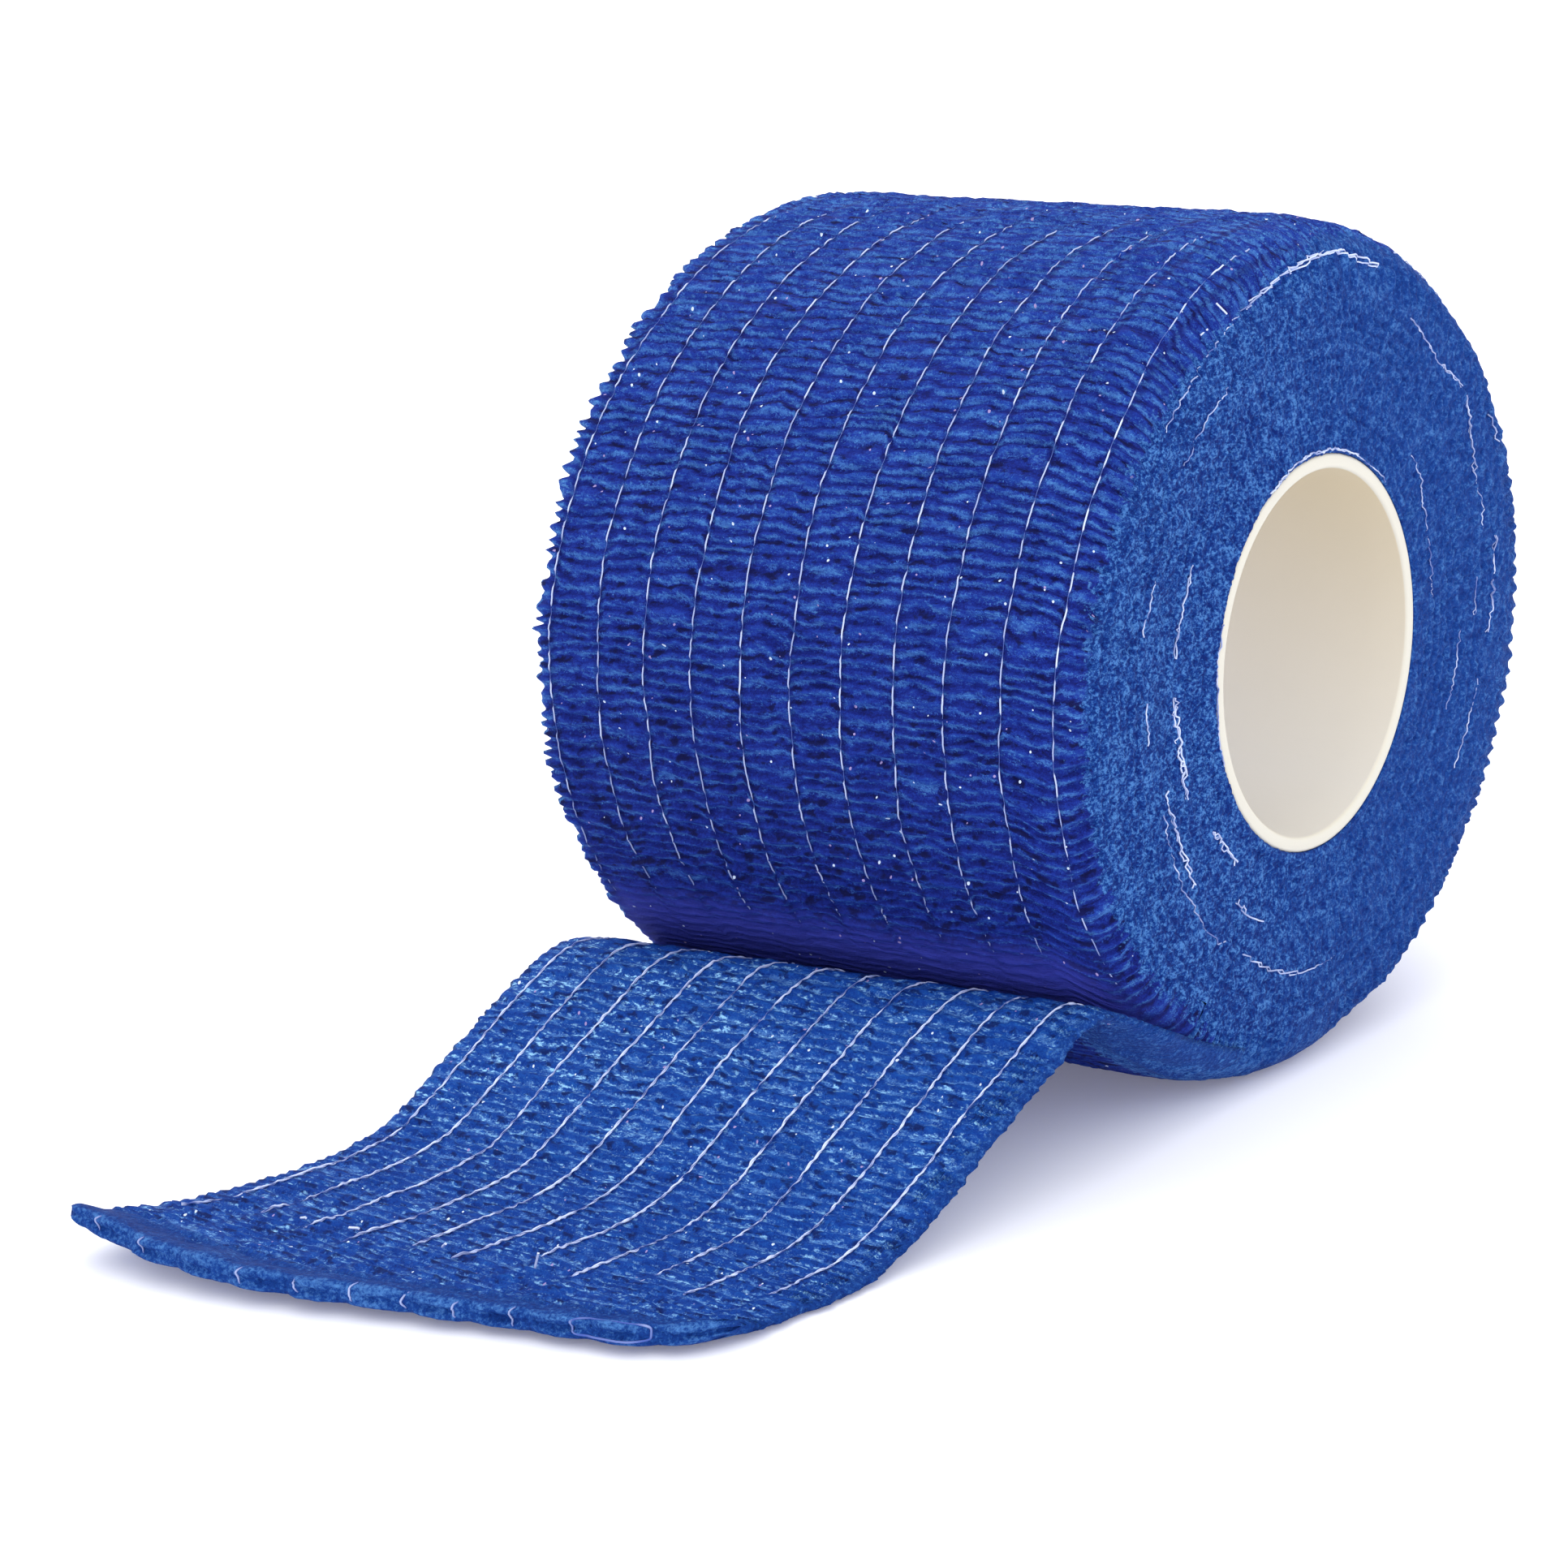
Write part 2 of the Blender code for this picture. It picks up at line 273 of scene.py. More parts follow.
def makeCrepe(name, look):
    # Spunlaid nonwoven coated with latex: matt, crinkled, with painted shade in its pits, painted highlights
    # on its ridges and painted glints on specks of latex
    base = clothLook
    made, tree, shader = newMaterial(name, {"Roughness": 0.72, "IOR": 1.46, "Specular IOR Level": 0.09})
    cloth = addNode(tree, "Attribute", attribute_name="cloth", out="Vector")
    space = addNode(tree, "TexCoord", out="Object")
    phase, crest, felt, grit, shine = [addNode(tree, "Attribute", attribute_name=kind, out="Fac")
                                       for kind in ("phase", "crest", "felt", "grit", "shine")]
    noise = {}
    for seed, (pattern, (size, detail, roughness, distortion)) in enumerate(clothNoise.items(), 1):
        onTape = isinstance(size, tuple)
        across, along = size if onTape else (size * mm, size * base["grainDraw"] * mm)
        place = addNode(tree, "Mapping", {"Vector": cloth if onTape else space,
                                          "Location": (seed * 3.7, seed * 5.3, seed * 1.9),
                                          "Scale": (1 / across, 1 / along, 1 / across)})
        noise[pattern] = addNode(tree, "TexNoise", {"Vector": place, "Scale": 1.0, "Detail": detail,
                                                    "Roughness": roughness, "Distortion": distortion})
    wrinkle, fibre, grain, clump = [noise[pattern] for pattern in ("wrinkle", "fibre", "grain", "clump")]

    # Ridge lines: the ridge count, bent by a little noise, folded into 1 on a ridge and 0 in a pit
    bent = weightedSum(tree, phase, (noise["warp"], look["warp"]))
    sawn = weightedSum(tree, -1.0, (addNode(tree, "Math", bent, operation="FRACT"), 2.0))
    folded = addNode(tree, "Math", sawn, operation="ABSOLUTE")
    fine = addNode(tree, "Math", fibre, -0.5, operation="ADD")
    # The colour follows the height: painted shade in the pits, painted highlight on the ridges
    height = weightedSum(tree, -0.19 - look["fold"] / 2, (crest, 0.42), (folded, look["fold"]),
                         (wrinkle, 0.9), (fine, 0.95))
    colour = addNode(tree, "ValToRGB", height)
    setStops(colour, ((0.05, look["pit"]), (0.30, look["deep"]), (0.52, look["body"]),
                      (0.80, look["slope"]), (1.0, look["ridge"])))

    # Painted shadow along each thread, where the tape is drawn in
    across = addNode(tree, "Math", addNode(tree, "SeparateXYZ", cloth), operation="ABSOLUTE")
    aside = addNode(tree, "Math", across, base["threadPitch"] / 2, operation="PINGPONG")
    nearThread = weightedSum(tree, aside, (fine, 0.25))
    shineSize = addNode(tree, "Math", shine, operation="ABSOLUTE")

    # Layers of colour from the ground up: a colour, then the factors of how much of it shows. A value in
    # brackets comes with the range that goes smoothly from 0 to 1, or to the last two numbers
    frayed = weightedSum(tree, folded, (fine, 0.8))
    crisp = (shine, -0.5, -0.1)               # not in the painted fill light above the crevice
    layers = (
        # Painted highlight: a lit, broken line along each ridge
        (look["ridge"], (weightedSum(tree, folded, (fine, 1.4)), 0.55, 1.05), (noise["patch"], 0.38, 0.62),
         crisp, look["line"]),
        # Light flecks of fibre; more of them show where the shine attribute is up, as painted sheen
        (look["fleck"], (noise["fleck"], 0.52, 0.70), weightedSum(tree, look["flecks"], (shine, 0.9)),
         (noise["gather"], 0.38, 0.62, 0.35, 1.10), (frayed, 0.15, 0.75)),
        # Painted glints: a fine sparkle on the ridges
        (look["fleck"], (fibre, 0.60, 0.70), (folded, 0.2, 0.7), crisp, 0.42),
        # Painted shade: near black in the open pits between the ridges
        (base["black"], (frayed, 0.62, 0.22), (noise["pit"], 0.50, 0.64), crisp, look["black"]),
        # Painted fill light: paler and more purple above the crevice, where the roll lies in shade
        (look["paintedFill"], (shine, -0.05, -0.45), 0.8),
        # Painted shadow beside each thread
        (look["pit"], (nearThread, base["threadShade"], 0.12), (shineSize, 0.40, 0.10), 0.38),
    )
    for hexColour, *factors in layers:
        share = 1.0
        for factor in factors:
            if isinstance(factor, tuple):
                factor = addNode(tree, "MapRange", *factor, **smoothly)
            share = addNode(tree, "Math", share, factor, operation="MULTIPLY")
        colour = addNode(tree, "Mix", {0: share, 6: colour, 7: linear(hexColour)}, **colourMix)

    # Felt: its border to the crepe is broken up by its own clumps
    rough = weightedSum(tree, -0.825, (fibre, 0.50), (clump, 0.40), (grain, 0.75))
    contrast = weightedSum(tree, 0.9, (grit, 3.0))
    rough = weightedSum(tree, 0.25, (crest, 0.45), (rough, contrast))
    feltColour = addNode(tree, "ValToRGB", rough)
    setStops(feltColour, ((0.0, base["feltDark"]), (0.5, base["felt"]), (1.0, base["feltLight"])))
    border = weightedSum(tree, -1.05, (felt, 1.0), (clump, 1.3), (grain, 0.8))
    border = addNode(tree, "MapRange", border, 0.38, 0.62, **smoothly)
    colour = addNode(tree, "Mix", {0: border, 6: colour, 7: feltColour}, **colourMix)

    # A few specks of latex catch the light on the crepe
    cells = addNode(tree, "TexVoronoi", {"Vector": cloth, "Scale": 1 / base["speckCell"]}, out="Color")
    picks = addNode(tree, "SeparateColor", cells).node.outputs
    radius = weightedSum(tree, 0.3 * base["speckRadius"], (picks[1], 0.7 * base["speckRadius"]))
    warm = addNode(tree, "Math", picks[2], base["warmFrom"], operation="GREATER_THAN")
    glint = addNode(tree, "Mix", {0: warm, 6: linear(base["glint"]), 7: linear(base["warmGlint"])},
                    **colourMix)
    speck = addNode(tree, "Math", cells.node.outputs["Distance"], radius, operation="LESS_THAN")
    for factor in (addNode(tree, "Math", picks[0], look["glintPick"], operation="GREATER_THAN"),
                   addNode(tree, "Math", 1.0, border, operation="SUBTRACT")):
        speck = addNode(tree, "Math", speck, factor, operation="MULTIPLY")
    colour = addNode(tree, "Mix", {0: speck, 6: colour, 7: glint}, **colourMix)
    tree.links.new(colour, shader.inputs["Base Color"])

    # Fine relief under the modelled ridges
    crepeRelief = weightedSum(tree, 0.0, (wrinkle, 1.1), (folded, 0.6), (fibre, 0.5))
    brushed = weightedSum(tree, 0.0, (fibre, 0.7), (grain, 1.6))
    relief = addNode(tree, "Mix", {0: border, 2: crepeRelief, 3: brushed})
    bump = addNode(tree, "Bump", {"Strength": 0.85, "Distance": base["bump"] * mm, "Height": relief})
    tree.links.new(bump, shader.inputs["Normal"])
    return made


threadLook = {"bright": "D2DEFF", "veiled": "3552A8"}


def makeThread():
    # Covered elastane: white, a little glossy, veiled in blue where it dips between the layers
    made, tree, shader = newMaterial("covered elastane thread", {"Roughness": 0.5, "IOR": 1.5})
    veil = addNode(tree, "Attribute", attribute_name="veil", out="Fac")
    colour = addNode(tree, "Mix", {0: veil, 6: linear(threadLook["bright"]), 7: linear(threadLook["veiled"])},
                     **colourMix)
    tree.links.new(colour, shader.inputs["Base Color"])
    return made


coreLook = {
    "top": "EFE4CE",          # the bore: painted warm bounce light where it faces down
    "foot": "EFF1F8",
    "mouth": "E0DBCF",        # yellower and darker towards the near end
    "rim": "D1CDC0",          # the sawn end is duller
    "rimFrom": 23.2,          # mm along X
    "axisHeight": 33.75,
    "spread": 12.0,           # mm above and below the axis, where the two colours are pure
    "scratch": 0.25,          # mm from line to line
}


def makeCorePlastic():
    # Extruded polypropylene: satin, cream, with fine lines from the die
    look = coreLook
    made, tree, shader = newMaterial("extruded cream polypropylene", {"Roughness": 0.45, "IOR": 1.49})
    place = addNode(tree, "TexCoord", out="Object")
    along, _, height = addNode(tree, "SeparateXYZ", place).node.outputs
    high = addNode(tree, "MapRange", height, (look["axisHeight"] - look["spread"]) * mm,
                   (look["axisHeight"] + look["spread"]) * mm)
    near = addNode(tree, "MapRange", along, 0.0, look["rimFrom"] * mm)
    size = addNode(tree, "Math", along, operation="ABSOLUTE")
    onRim = addNode(tree, "Math", size, look["rimFrom"] * mm, operation="GREATER_THAN")
    # Painted light: the bore is warmer above the axis, where it faces down and takes light bounced up
    colour = addNode(tree, "Mix", {0: high, 6: linear(look["foot"]), 7: linear(look["top"])}, **colourMix)
    colour = addNode(tree, "Mix", {0: near, 6: colour, 7: linear(look["mouth"])}, blend_type="MULTIPLY",
                     **colourMix)
    colour = addNode(tree, "Mix", {0: onRim, 6: colour, 7: linear(look["rim"])}, **colourMix)
    tree.links.new(colour, shader.inputs["Base Color"])
    place = addNode(tree, "Mapping", {"Vector": place, "Scale": (0.05, 1.0, 1.0)})
    lines = addNode(tree, "TexNoise", {"Vector": place, "Scale": 1 / (look["scratch"] * mm), "Detail": 2.0})
    bump = addNode(tree, "Bump", {"Strength": 0.12, "Distance": 0.02 * mm, "Height": lines})
    tree.links.new(bump, shader.inputs["Normal"])
    return made


outerCrepe = makeCrepe("latex bonded crepe nonwoven, outer side", outerLook)
innerCrepe = makeCrepe("latex bonded crepe nonwoven, inner side", innerLook)
threadWhite = makeThread()
corePlastic = makeCorePlastic()
print("materials made")


# The wound roll

# Angles are counted up from the front of the roll, over its top and round to the peel
roll = {
    "halfDepth": 37.5,        # the soft roll sags a little wider than high
    "halfHeight": 33.6,
    "axisHeight": 33.75,
    "layer": 1.1,             # a turn of tape
    "crevice": -44.5,
    "peel": 313.5,
    "farSlip": -3.5,
    "nearSlip": -12.0,        # the seam drifts down where it meets the near face
    "bore": 15.9,
    "hug": 0.28,              # the near face closes up to the core
    "wrap": 224.0,            # length of one turn
    "tuck": 0.014,            # share of a turn that the skin runs on below the crevice
    "tuckRise": 0.7,
    "steps": 1100,            # round the roll
    "skinSteps": 131,         # across its skin
    "farEdge": -23.7,         # the tape's two edges along X
    "nearEdge": 23.2,
    "closeFrom": 20.0,        # towards the near face the tape closes up, from here
    "scallop": 0.2,           # the puckers run on over the near shoulder
    "scallopPitch": 1.6,
    "tooth": 1.3,             # the points along the far rim
    "toothReach": 1.5,
    "overlap": 0.16,          # felt that laps over the core's end
    "footTurn": 0.83,         # turns: from here on the roll turns under
    "footFelt": 7.0,          # mm that the felt spreads in over the skin there
    "topTurn": 0.32,
    "topFelt": 3.4,           # and from here on, over the top
    "lastTurn": 0.90,         # low on the back the skin is paler
    "crown": (92.0, 28.0),    # degrees: the top catches more light
    "paintedFill": 0.05,             # share of a turn that gets painted fill light, just above the crevice
    "press": (3.0, 6.0),      # degrees: flat under the roll, and how soon the ridges come back
}

# The roll in section, from the middle of the bore out over the far face, along the skin, round the near
# shoulder and back: x, how far below the outermost turn, and the share of the way in to the bore
sectionLine = np.array([
    (0.0, 1.6, 1.0), (-14.0, 1.6, 1.0), (-22.6, 1.6, 1.0), (-23.25, 1.6, 0.985), (-23.35, 1.6, 0.8),
    (-23.55, 1.6, 0.55), (-23.3, 1.6, 0.3), (-23.45, 1.6, 0.06), (-23.7, 1.1, 0.0), (-23.75, 0.5, 0.0),
    (-23.3, 0.05, 0.0), (-22.3, 0.0, 0.0), (-15.0, 0.0, 0.0), (0.0, 0.0, 0.0), (12.0, 0.0, 0.0),
    (16.0, 0.02, 0.0), (18.4, 0.15, 0.0), (20.2, 0.5, 0.0), (21.6, 1.2, 0.0), (22.5, 2.2, 0.0),
    (23.1, 3.5, 0.0), (23.4, 5.0, 0.0), (23.5, 5.0, 0.12), (23.45, 5.0, 0.35), (23.2, 5.0, 0.62),
    (23.35, 5.0, 0.88), (23.5, 5.0, 0.975), (23.35, 5.0, 1.0), (22.4, 5.0, 1.0), (14.0, 5.0, 1.0),
    (0.0, 5.0, 1.0)])
farRimRow, shoulderRow = 9, 21     # where the far face ends and where the near face begins
meanRadius = 35.6

threads = {"count": 11, "first": -22.56, "pitch": 4.56, "last": 22.1, "tapePitches": 11.3}


def sectionTables():
    steps = 12
    fine = smoothRun(sectionLine, steps)
    x, inset, share = fine.T
    radius = (meanRadius - inset) * (1 - share) + roll["bore"] * share
    path = np.stack([x, radius], 1)
    run = lengthAlong(path)
    step = np.gradient(path, run, axis=0)
    step /= np.hypot(step[:, 0], step[:, 1])[:, None]
    normal = np.stack([-step[:, 1], step[:, 0]], 1)
    return {"run": run, "x": x, "inset": inset, "share": share, "normal": normal,
            "farRim": run[farRimRow * steps], "shoulder": run[shoulderRow * steps]}


section = sectionTables()
onSkin = (section["run"] >= section["farRim"]) & (section["run"] <= section["shoulder"])
threadX = threads["first"] + threads["pitch"] * np.arange(threads["count"])
threadX[-1] = threads["last"]
threadRun = np.interp(threadX, section["x"][onSkin], section["run"][onSkin])


def threadCell(run):
    # Counts threads across the tape, 0 at the first one and 10 at the last, and runs on past both
    cell = np.interp(run, threadRun, np.arange(threads["count"]))
    before = np.minimum(run - threadRun[0], 0.0) / threads["pitch"]
    after = np.maximum(run - threadRun[-1], 0.0) / threads["pitch"]
    return cell + before + after


pucker = {
    "pitch": 1.12,            # mm from ridge to ridge
    "rise": 0.32,             # half the height of a strong ridge
    "pinned": 0.32,           # share of the height that is left at a thread
}


def puckers(cell, along, seed):
    # The tape is gathered by its threads: between two of them each ridge wanders on its own
    across = cell * threads["pitch"]
    strip = np.floor(cell)
    share = cell - strip

    def offset(n):
        slow = 0.65 * ripple(n * 7.31 + 0.5, along / 4.2, seed)
        return slow + 0.32 * ripple(n * 3.7, along / 1.7, seed + 1)

    reach = 0.07
    low = np.clip(0.5 - 0.5 * share / reach, 0.0, 0.5)
    high = np.clip(0.5 - 0.5 * (1 - share) / reach, 0.0, 0.5)
    phase = offset(strip) * (1 - low - high) + offset(strip - 1) * low + offset(strip + 1) * high
    phase = phase + along / pucker["pitch"]
    phase += 0.30 * ripple(across / 2.0, along / 2.2, seed + 2)
    phase += 0.12 * ripple(across / 0.8, along / 1.3, seed + 3)
    wave = 0.5 + 0.5 * np.cos(2 * math.pi * phase)
    ridge = 2 * wave ** 1.5 - 1
    strength = 0.62 + 0.30 * ripple(across / 2.4, along / 1.8, seed + 4)
    strength += 0.26 * ripple(across / 1.1, along / 0.9, seed + 7)
    pin = pucker["pinned"] + (1 - pucker["pinned"]) * np.sin(math.pi * share) ** 0.6
    fine = 0.22 * ripple(across / 0.9, along / 0.36, seed + 5)
    fine += 0.12 * ripple(across / 0.45, along / 0.25, seed + 6)
    height = ridge * strength * pin + fine
    return pucker["rise"] * height, np.clip(0.5 + 0.42 * height, 0.0, 1.0), phase


def toothed(phase, along, seed):
    # The cut edge of the tape: each ridge ends in a small point, some long and some hardly there
    phase = phase + 0.5 * ripple(along / 1.4, 5.5, seed + 3)
    point = (0.5 + 0.5 * np.cos(2 * math.pi * phase)) ** (1.3 + 0.5 * ripple(along / 2.0, 9.5, seed + 4))
    ragged = 0.20 * ripple(along / 0.35, 3.5, seed + 1) + 0.24 * ripple(along / 2.6, 7.5, seed + 2)
    return point * (0.42 + 0.50 * ripple(along / 1.0, 0.5, seed)) + ragged


faceRelief = {"grain": 0.13, "fine": 0.07, "ring": 0.07, "swell": 0.25, "ringPitch": 1.15}


def feltRelief(y, z, radius, turn, seed):
    # End faces: the edges of the turns, brushed up into felt, with a faint ring for each turn
    relief = faceRelief
    grain = ripple(y / 0.5, z / 0.5, seed)
    fine = ripple(y / 0.27, z / 0.27, seed + 1)
    wander = 0.12 * ripple(turn * 30.0, radius / 3.0, seed + 4)
    ring = np.cos(2 * math.pi * (radius / relief["ringPitch"] + turn + wander))
    ring *= 0.5 + 0.5 * ripple(radius / 2.7, turn * 9.0, seed + 2)
    groove = np.clip(-ring, 0.0, 1.0) ** 3
    swell = ripple(y / 7.0, z / 7.0, seed + 3)
    height = relief["grain"] * grain + relief["fine"] * fine + relief["ring"] * ring + relief["swell"] * swell
    crest = 0.5 + 0.26 * grain + 0.22 * fine + 0.08 * ring - 0.4 * groove
    return height - 0.08 * groove, np.clip(crest, 0.0, 1.0)


def woundSurface(run, turn, extra=0.0, relief=1.0):
    # Places on the roll: run is mm along the section line, turn goes from 0 at the crevice to 1 at the peel
    run, turn = np.broadcast_arrays(np.asarray(run, float), np.asarray(turn, float))
    x = np.interp(run, section["run"], section["x"])
    inset = np.interp(run, section["run"], section["inset"])
    share = np.interp(run, section["run"], section["share"])
    outX = np.interp(run, section["run"], section["normal"][:, 0])
    outR = np.interp(run, section["run"], section["normal"][:, 1])
    sweep = roll["peel"] - roll["crevice"]
    gap = 360.0 / sweep - 1.0
    tape = np.clip((x - roll["farEdge"]) / (roll["nearEdge"] - roll["farEdge"]), 0.0, 1.0)
    toEnds = np.minimum(2 * turn - 1, 1.0)
    slip = roll["farSlip"] * (1 - tape) * toEnds ** 2
    slip = slip + roll["nearSlip"] * ease((tape - 0.9) / 0.1) * toEnds ** 6
    degrees = roll["crevice"] + sweep * turn + slip
    angle = np.radians(degrees)
    closing = ease((x - roll["closeFrom"]) / 3.0)
    settled = closing * ease((turn - 0.97) / 0.03)
    grow = np.where(turn > 1, 0.5 - (turn - 1) / gap, turn - 0.5) * (1 - settled) - 0.5 * settled
    grow = grow * roll["layer"]
    grow = grow - inset + roll["tuckRise"] * ease(-turn / roll["tuck"])

    along = turn * roll["wrap"]
    cell = threadCell(run)
    baseY = -(roll["halfDepth"] + grow) * np.cos(angle)
    baseZ = (roll["halfHeight"] + grow) * np.sin(angle)
    size = np.hypot(baseY, baseZ)
    bore = roll["bore"] - roll["hug"] * closing
    scale = (size * (1 - share) + bore * share) / size
    height, crest, phase = puckers(cell, along, 11)
    feltHeight, feltCrest = feltRelief(baseY * scale, baseZ * scale, size * scale, turn, 31)
    foot = ease((turn - roll["footTurn"]) / 0.08)
    spread = roll["footFelt"] * foot + roll["topFelt"] * ease((turn - roll["topTurn"]) / 0.08) * (1 - foot)
    lastTurn = ease((turn - roll["lastTurn"]) / 0.05) * ease((section["shoulder"] - run) / 2.0)
    felt = np.maximum(ease((run - threadRun[-1] - 0.6 + spread) / 3.6),
                      ease((section["farRim"] + 1.0 - run) / 1.6))
    # The ridges are calmer under the roll near the shoulder, and just above the crevice
    height = height * (1 - 0.6 * foot * ease((x - 8.0) / 8.0)) * (1 - 0.8 * ease((0.045 - turn) / 0.03))
    inner = ease((share - 0.96) / 0.03)
    # The puckers run on over the near shoulder as soft scallops
    over = np.clip((run - threadRun[-1]) / (section["shoulder"] - threadRun[-1]), 0.0, 1.0)
    wander = 2.5 * ripple(along / 4.0, 0.3, 41)
    scallop = roll["scallop"] * np.cos(2 * math.pi * along / roll["scallopPitch"] + wander)
    lift = height * (1 - felt * 0.75) + (feltHeight * felt + scallop * np.sin(math.pi * over)) * (1 - inner)
    flat, back = roll["press"]
    pressed = np.clip((np.abs(degrees - 270.0) - flat) / back, 0.25, 1.0)
    lift = lift * np.where(share > 0, 1.0, pressed) * relief + extra
    x = x + outX * lift
    rimDistance = np.abs(run - section["farRim"])
    x = x - (0.12 + roll["tooth"] * toothed(phase, along, 51)) * ease(1 - rimDistance / roll["toothReach"])
    y = -(roll["halfDepth"] + grow + outR * lift) * np.cos(angle)
    z = (roll["halfHeight"] + grow + outR * lift) * np.sin(angle)
    size = np.hypot(y, z)
    lip = ease((x - 23.3) / 0.12) * ease((share - 0.9) / 0.08)
    overlap = roll["overlap"] * np.maximum(0.0, ripple(along / 2.2, 0.5, 43))
    overlap = overlap + 0.10 * ripple(along / 0.9, 0.5, 44)
    scale = (size * (1 - share) + (bore + outR * lift * share) * share - lip * overlap) / size
    place = np.stack([x, y * scale, roll["axisHeight"] + z * scale], -1)
    place[..., 2] = np.maximum(place[..., 2], tableGap)
    outward = np.stack([outX, -outR * np.cos(angle), outR * np.sin(angle)], -1)
    cloth = np.stack([cell * threads["pitch"], along, np.zeros_like(along)], -1)
    # The felt is rougher towards the front, and smoother where it spreads over the skin
    grit = 0.20 + 0.68 * ease((16.0 - place[..., 1]) / 36.0)
    grit = grit * (1 - 0.7 * foot * ease((section["shoulder"] - run) / 3.0))
    # Paler along the far rim and low on the back, painted light over the top, and painted purple fill light
    # above the crevice, where the roll lies in shade
    glow = 0.5 * ease(1 - rimDistance / 1.8) * (x < 0)
    # Painted light over the top of the roll, where it catches more light
    crown = ease(1 - np.abs(degrees - roll["crown"][0]) / roll["crown"][1]) * (share == 0)
    paintedFill = ease(1 - (turn - 0.01) / roll["paintedFill"]) * ease((turn + 0.02) / 0.01) * ease((24.0 - x) / 4.0)
    shine = 0.6 * glow + 0.25 * crown - 0.5 * paintedFill
    glow = glow + 0.06 * crown + 0.35 * lastTurn
    return {"place": place, "outward": outward, "cloth": cloth, "phase": phase,
            "crest": np.clip(crest * (1 - felt) + feltCrest * felt + glow, 0.0, 1.0), "felt": felt,
            "grit": grit, "shine": shine}


def makeRoll():
    tuck = roll["tuck"]
    gap = 360.0 / (roll["peel"] - roll["crevice"]) - 1.0
    turns = np.linspace(0.0, 1.0, roll["steps"] + 1)
    half = roll["steps"] // 2
    skinRuns = np.linspace(section["farRim"], section["shoulder"], roll["skinSteps"] + 1)
    startTurns = np.concatenate([np.linspace(-tuck, 0.0, 16)[:-1], turns[:half + 1]])
    closing = np.concatenate([turns, np.linspace(1.0, 1.0 + gap, 8)[1:]])
    end = section["run"][-1]
    farEdge, nearEdge = section["farRim"], section["shoulder"]
    pieces = {
        "rollSkinFront": (skinRuns, startTurns),
        "rollSkinBack": (skinRuns, turns[half:]),
        "rollFarFace": (np.concatenate([[0.0, 12.0, 20.0], np.linspace(22.6, farEdge, 46)]), closing),
        "rollNearFace": (np.concatenate([np.linspace(nearEdge, end - 22.4, 84), [end - 18, end - 9, end]]),
                         closing),
    }
    made = {}
    for name, (runs, steps) in pieces.items():
        surface = woundSurface(runs[None, :], steps[:, None])
        closed = "Face" in name
        if closed:
            surface["place"][-1] = surface["place"][0]
        made[name] = clothGrid(name, surface, weld=closed)
        dress(made[name], "bandage", outerCrepe)
        print(name, len(made[name].data.polygons) * 2, "triangles")
    return made


rollPieces = makeRoll()


# The loose end

looseEnd = {
    "thick": 1.05,
    "cutThick": 1.5,          # the cut edge springs open
    "flatStart": -54.0,       # from here on it lies on the table
    "farSquash": 0.86,
    "farReach": 2.6,
    "rootTurn": 14.0,         # degrees that it runs on inside the roll
    "rootRadius": 35.5,
    "rows": 300,
    "columns": 140,
    "cutRows": 16,
    "flatWidth": 50.0,
    "opens": 5.2,             # mm over which it spreads to its full width
    "curlFrom": -60.0,        # from here on the cut is lifted
    "nose": 0.30,             # how far the cut bulges, everywhere and between two threads
    "bulge": 0.45,
    "hollow": 0.8,            # depth of the hollows in the cut
    "lip": 0.16,
}
# Its underside in side view, y and z
looseEndLine = np.array([
    (-26.05, 9.15), (-28.4, 10.95), (-30.2, 11.8), (-32.2, 11.8), (-34.6, 10.9), (-38.4, 9.0), (-42.6, 6.75),
    (-46.6, 4.45), (-50.4, 2.3), (-54.0, 0.75), (-57.5, 0.1), (-61.5, 0.0), (-66.0, 0.0), (-71.0, 0.1),
    (-76.0, 0.45)])
# Across it, from 0 at the far edge to 1 at the near edge: how far it is drawn in at the roll
rootLine = np.array([(0.0, 0.45), (0.035, 0.0), (0.86, 0.0), (0.93, 0.25), (0.975, 1.2), (1.0, 2.7)])
rootX = np.array([(0.0, -23.7), (0.035, -22.6), (0.35, -7.0), (0.71, 9.0), (0.86, 16.0), (0.93, 19.6),
                  (0.975, 21.9), (1.0, 23.2)])
# The cut: where it lies and how far it is lifted
cutLine = np.array([
    (0.0, -82.3, 2.6), (0.17, -82.2, 1.4), (0.35, -81.2, 0.8), (0.53, -78.6, 0.5), (0.71, -76.3, 0.3),
    (0.88, -74.3, 0.3), (0.95, -72.6, 0.3), (1.0, -69.5, 0.3)])
# The two edges along X, by share of the length
edgeLine = np.array([(0.0, -25.0, 24.0), (0.1, -25.2, 23.9), (0.5, -25.9, 22.6), (0.8, -26.6, 21.3),
                     (1.0, -27.5, 20.2)])


def readLine(line, place, column, steps=10):
    fine = smoothRun(line, steps)
    return np.interp(place, fine[:, 0], fine[:, column])


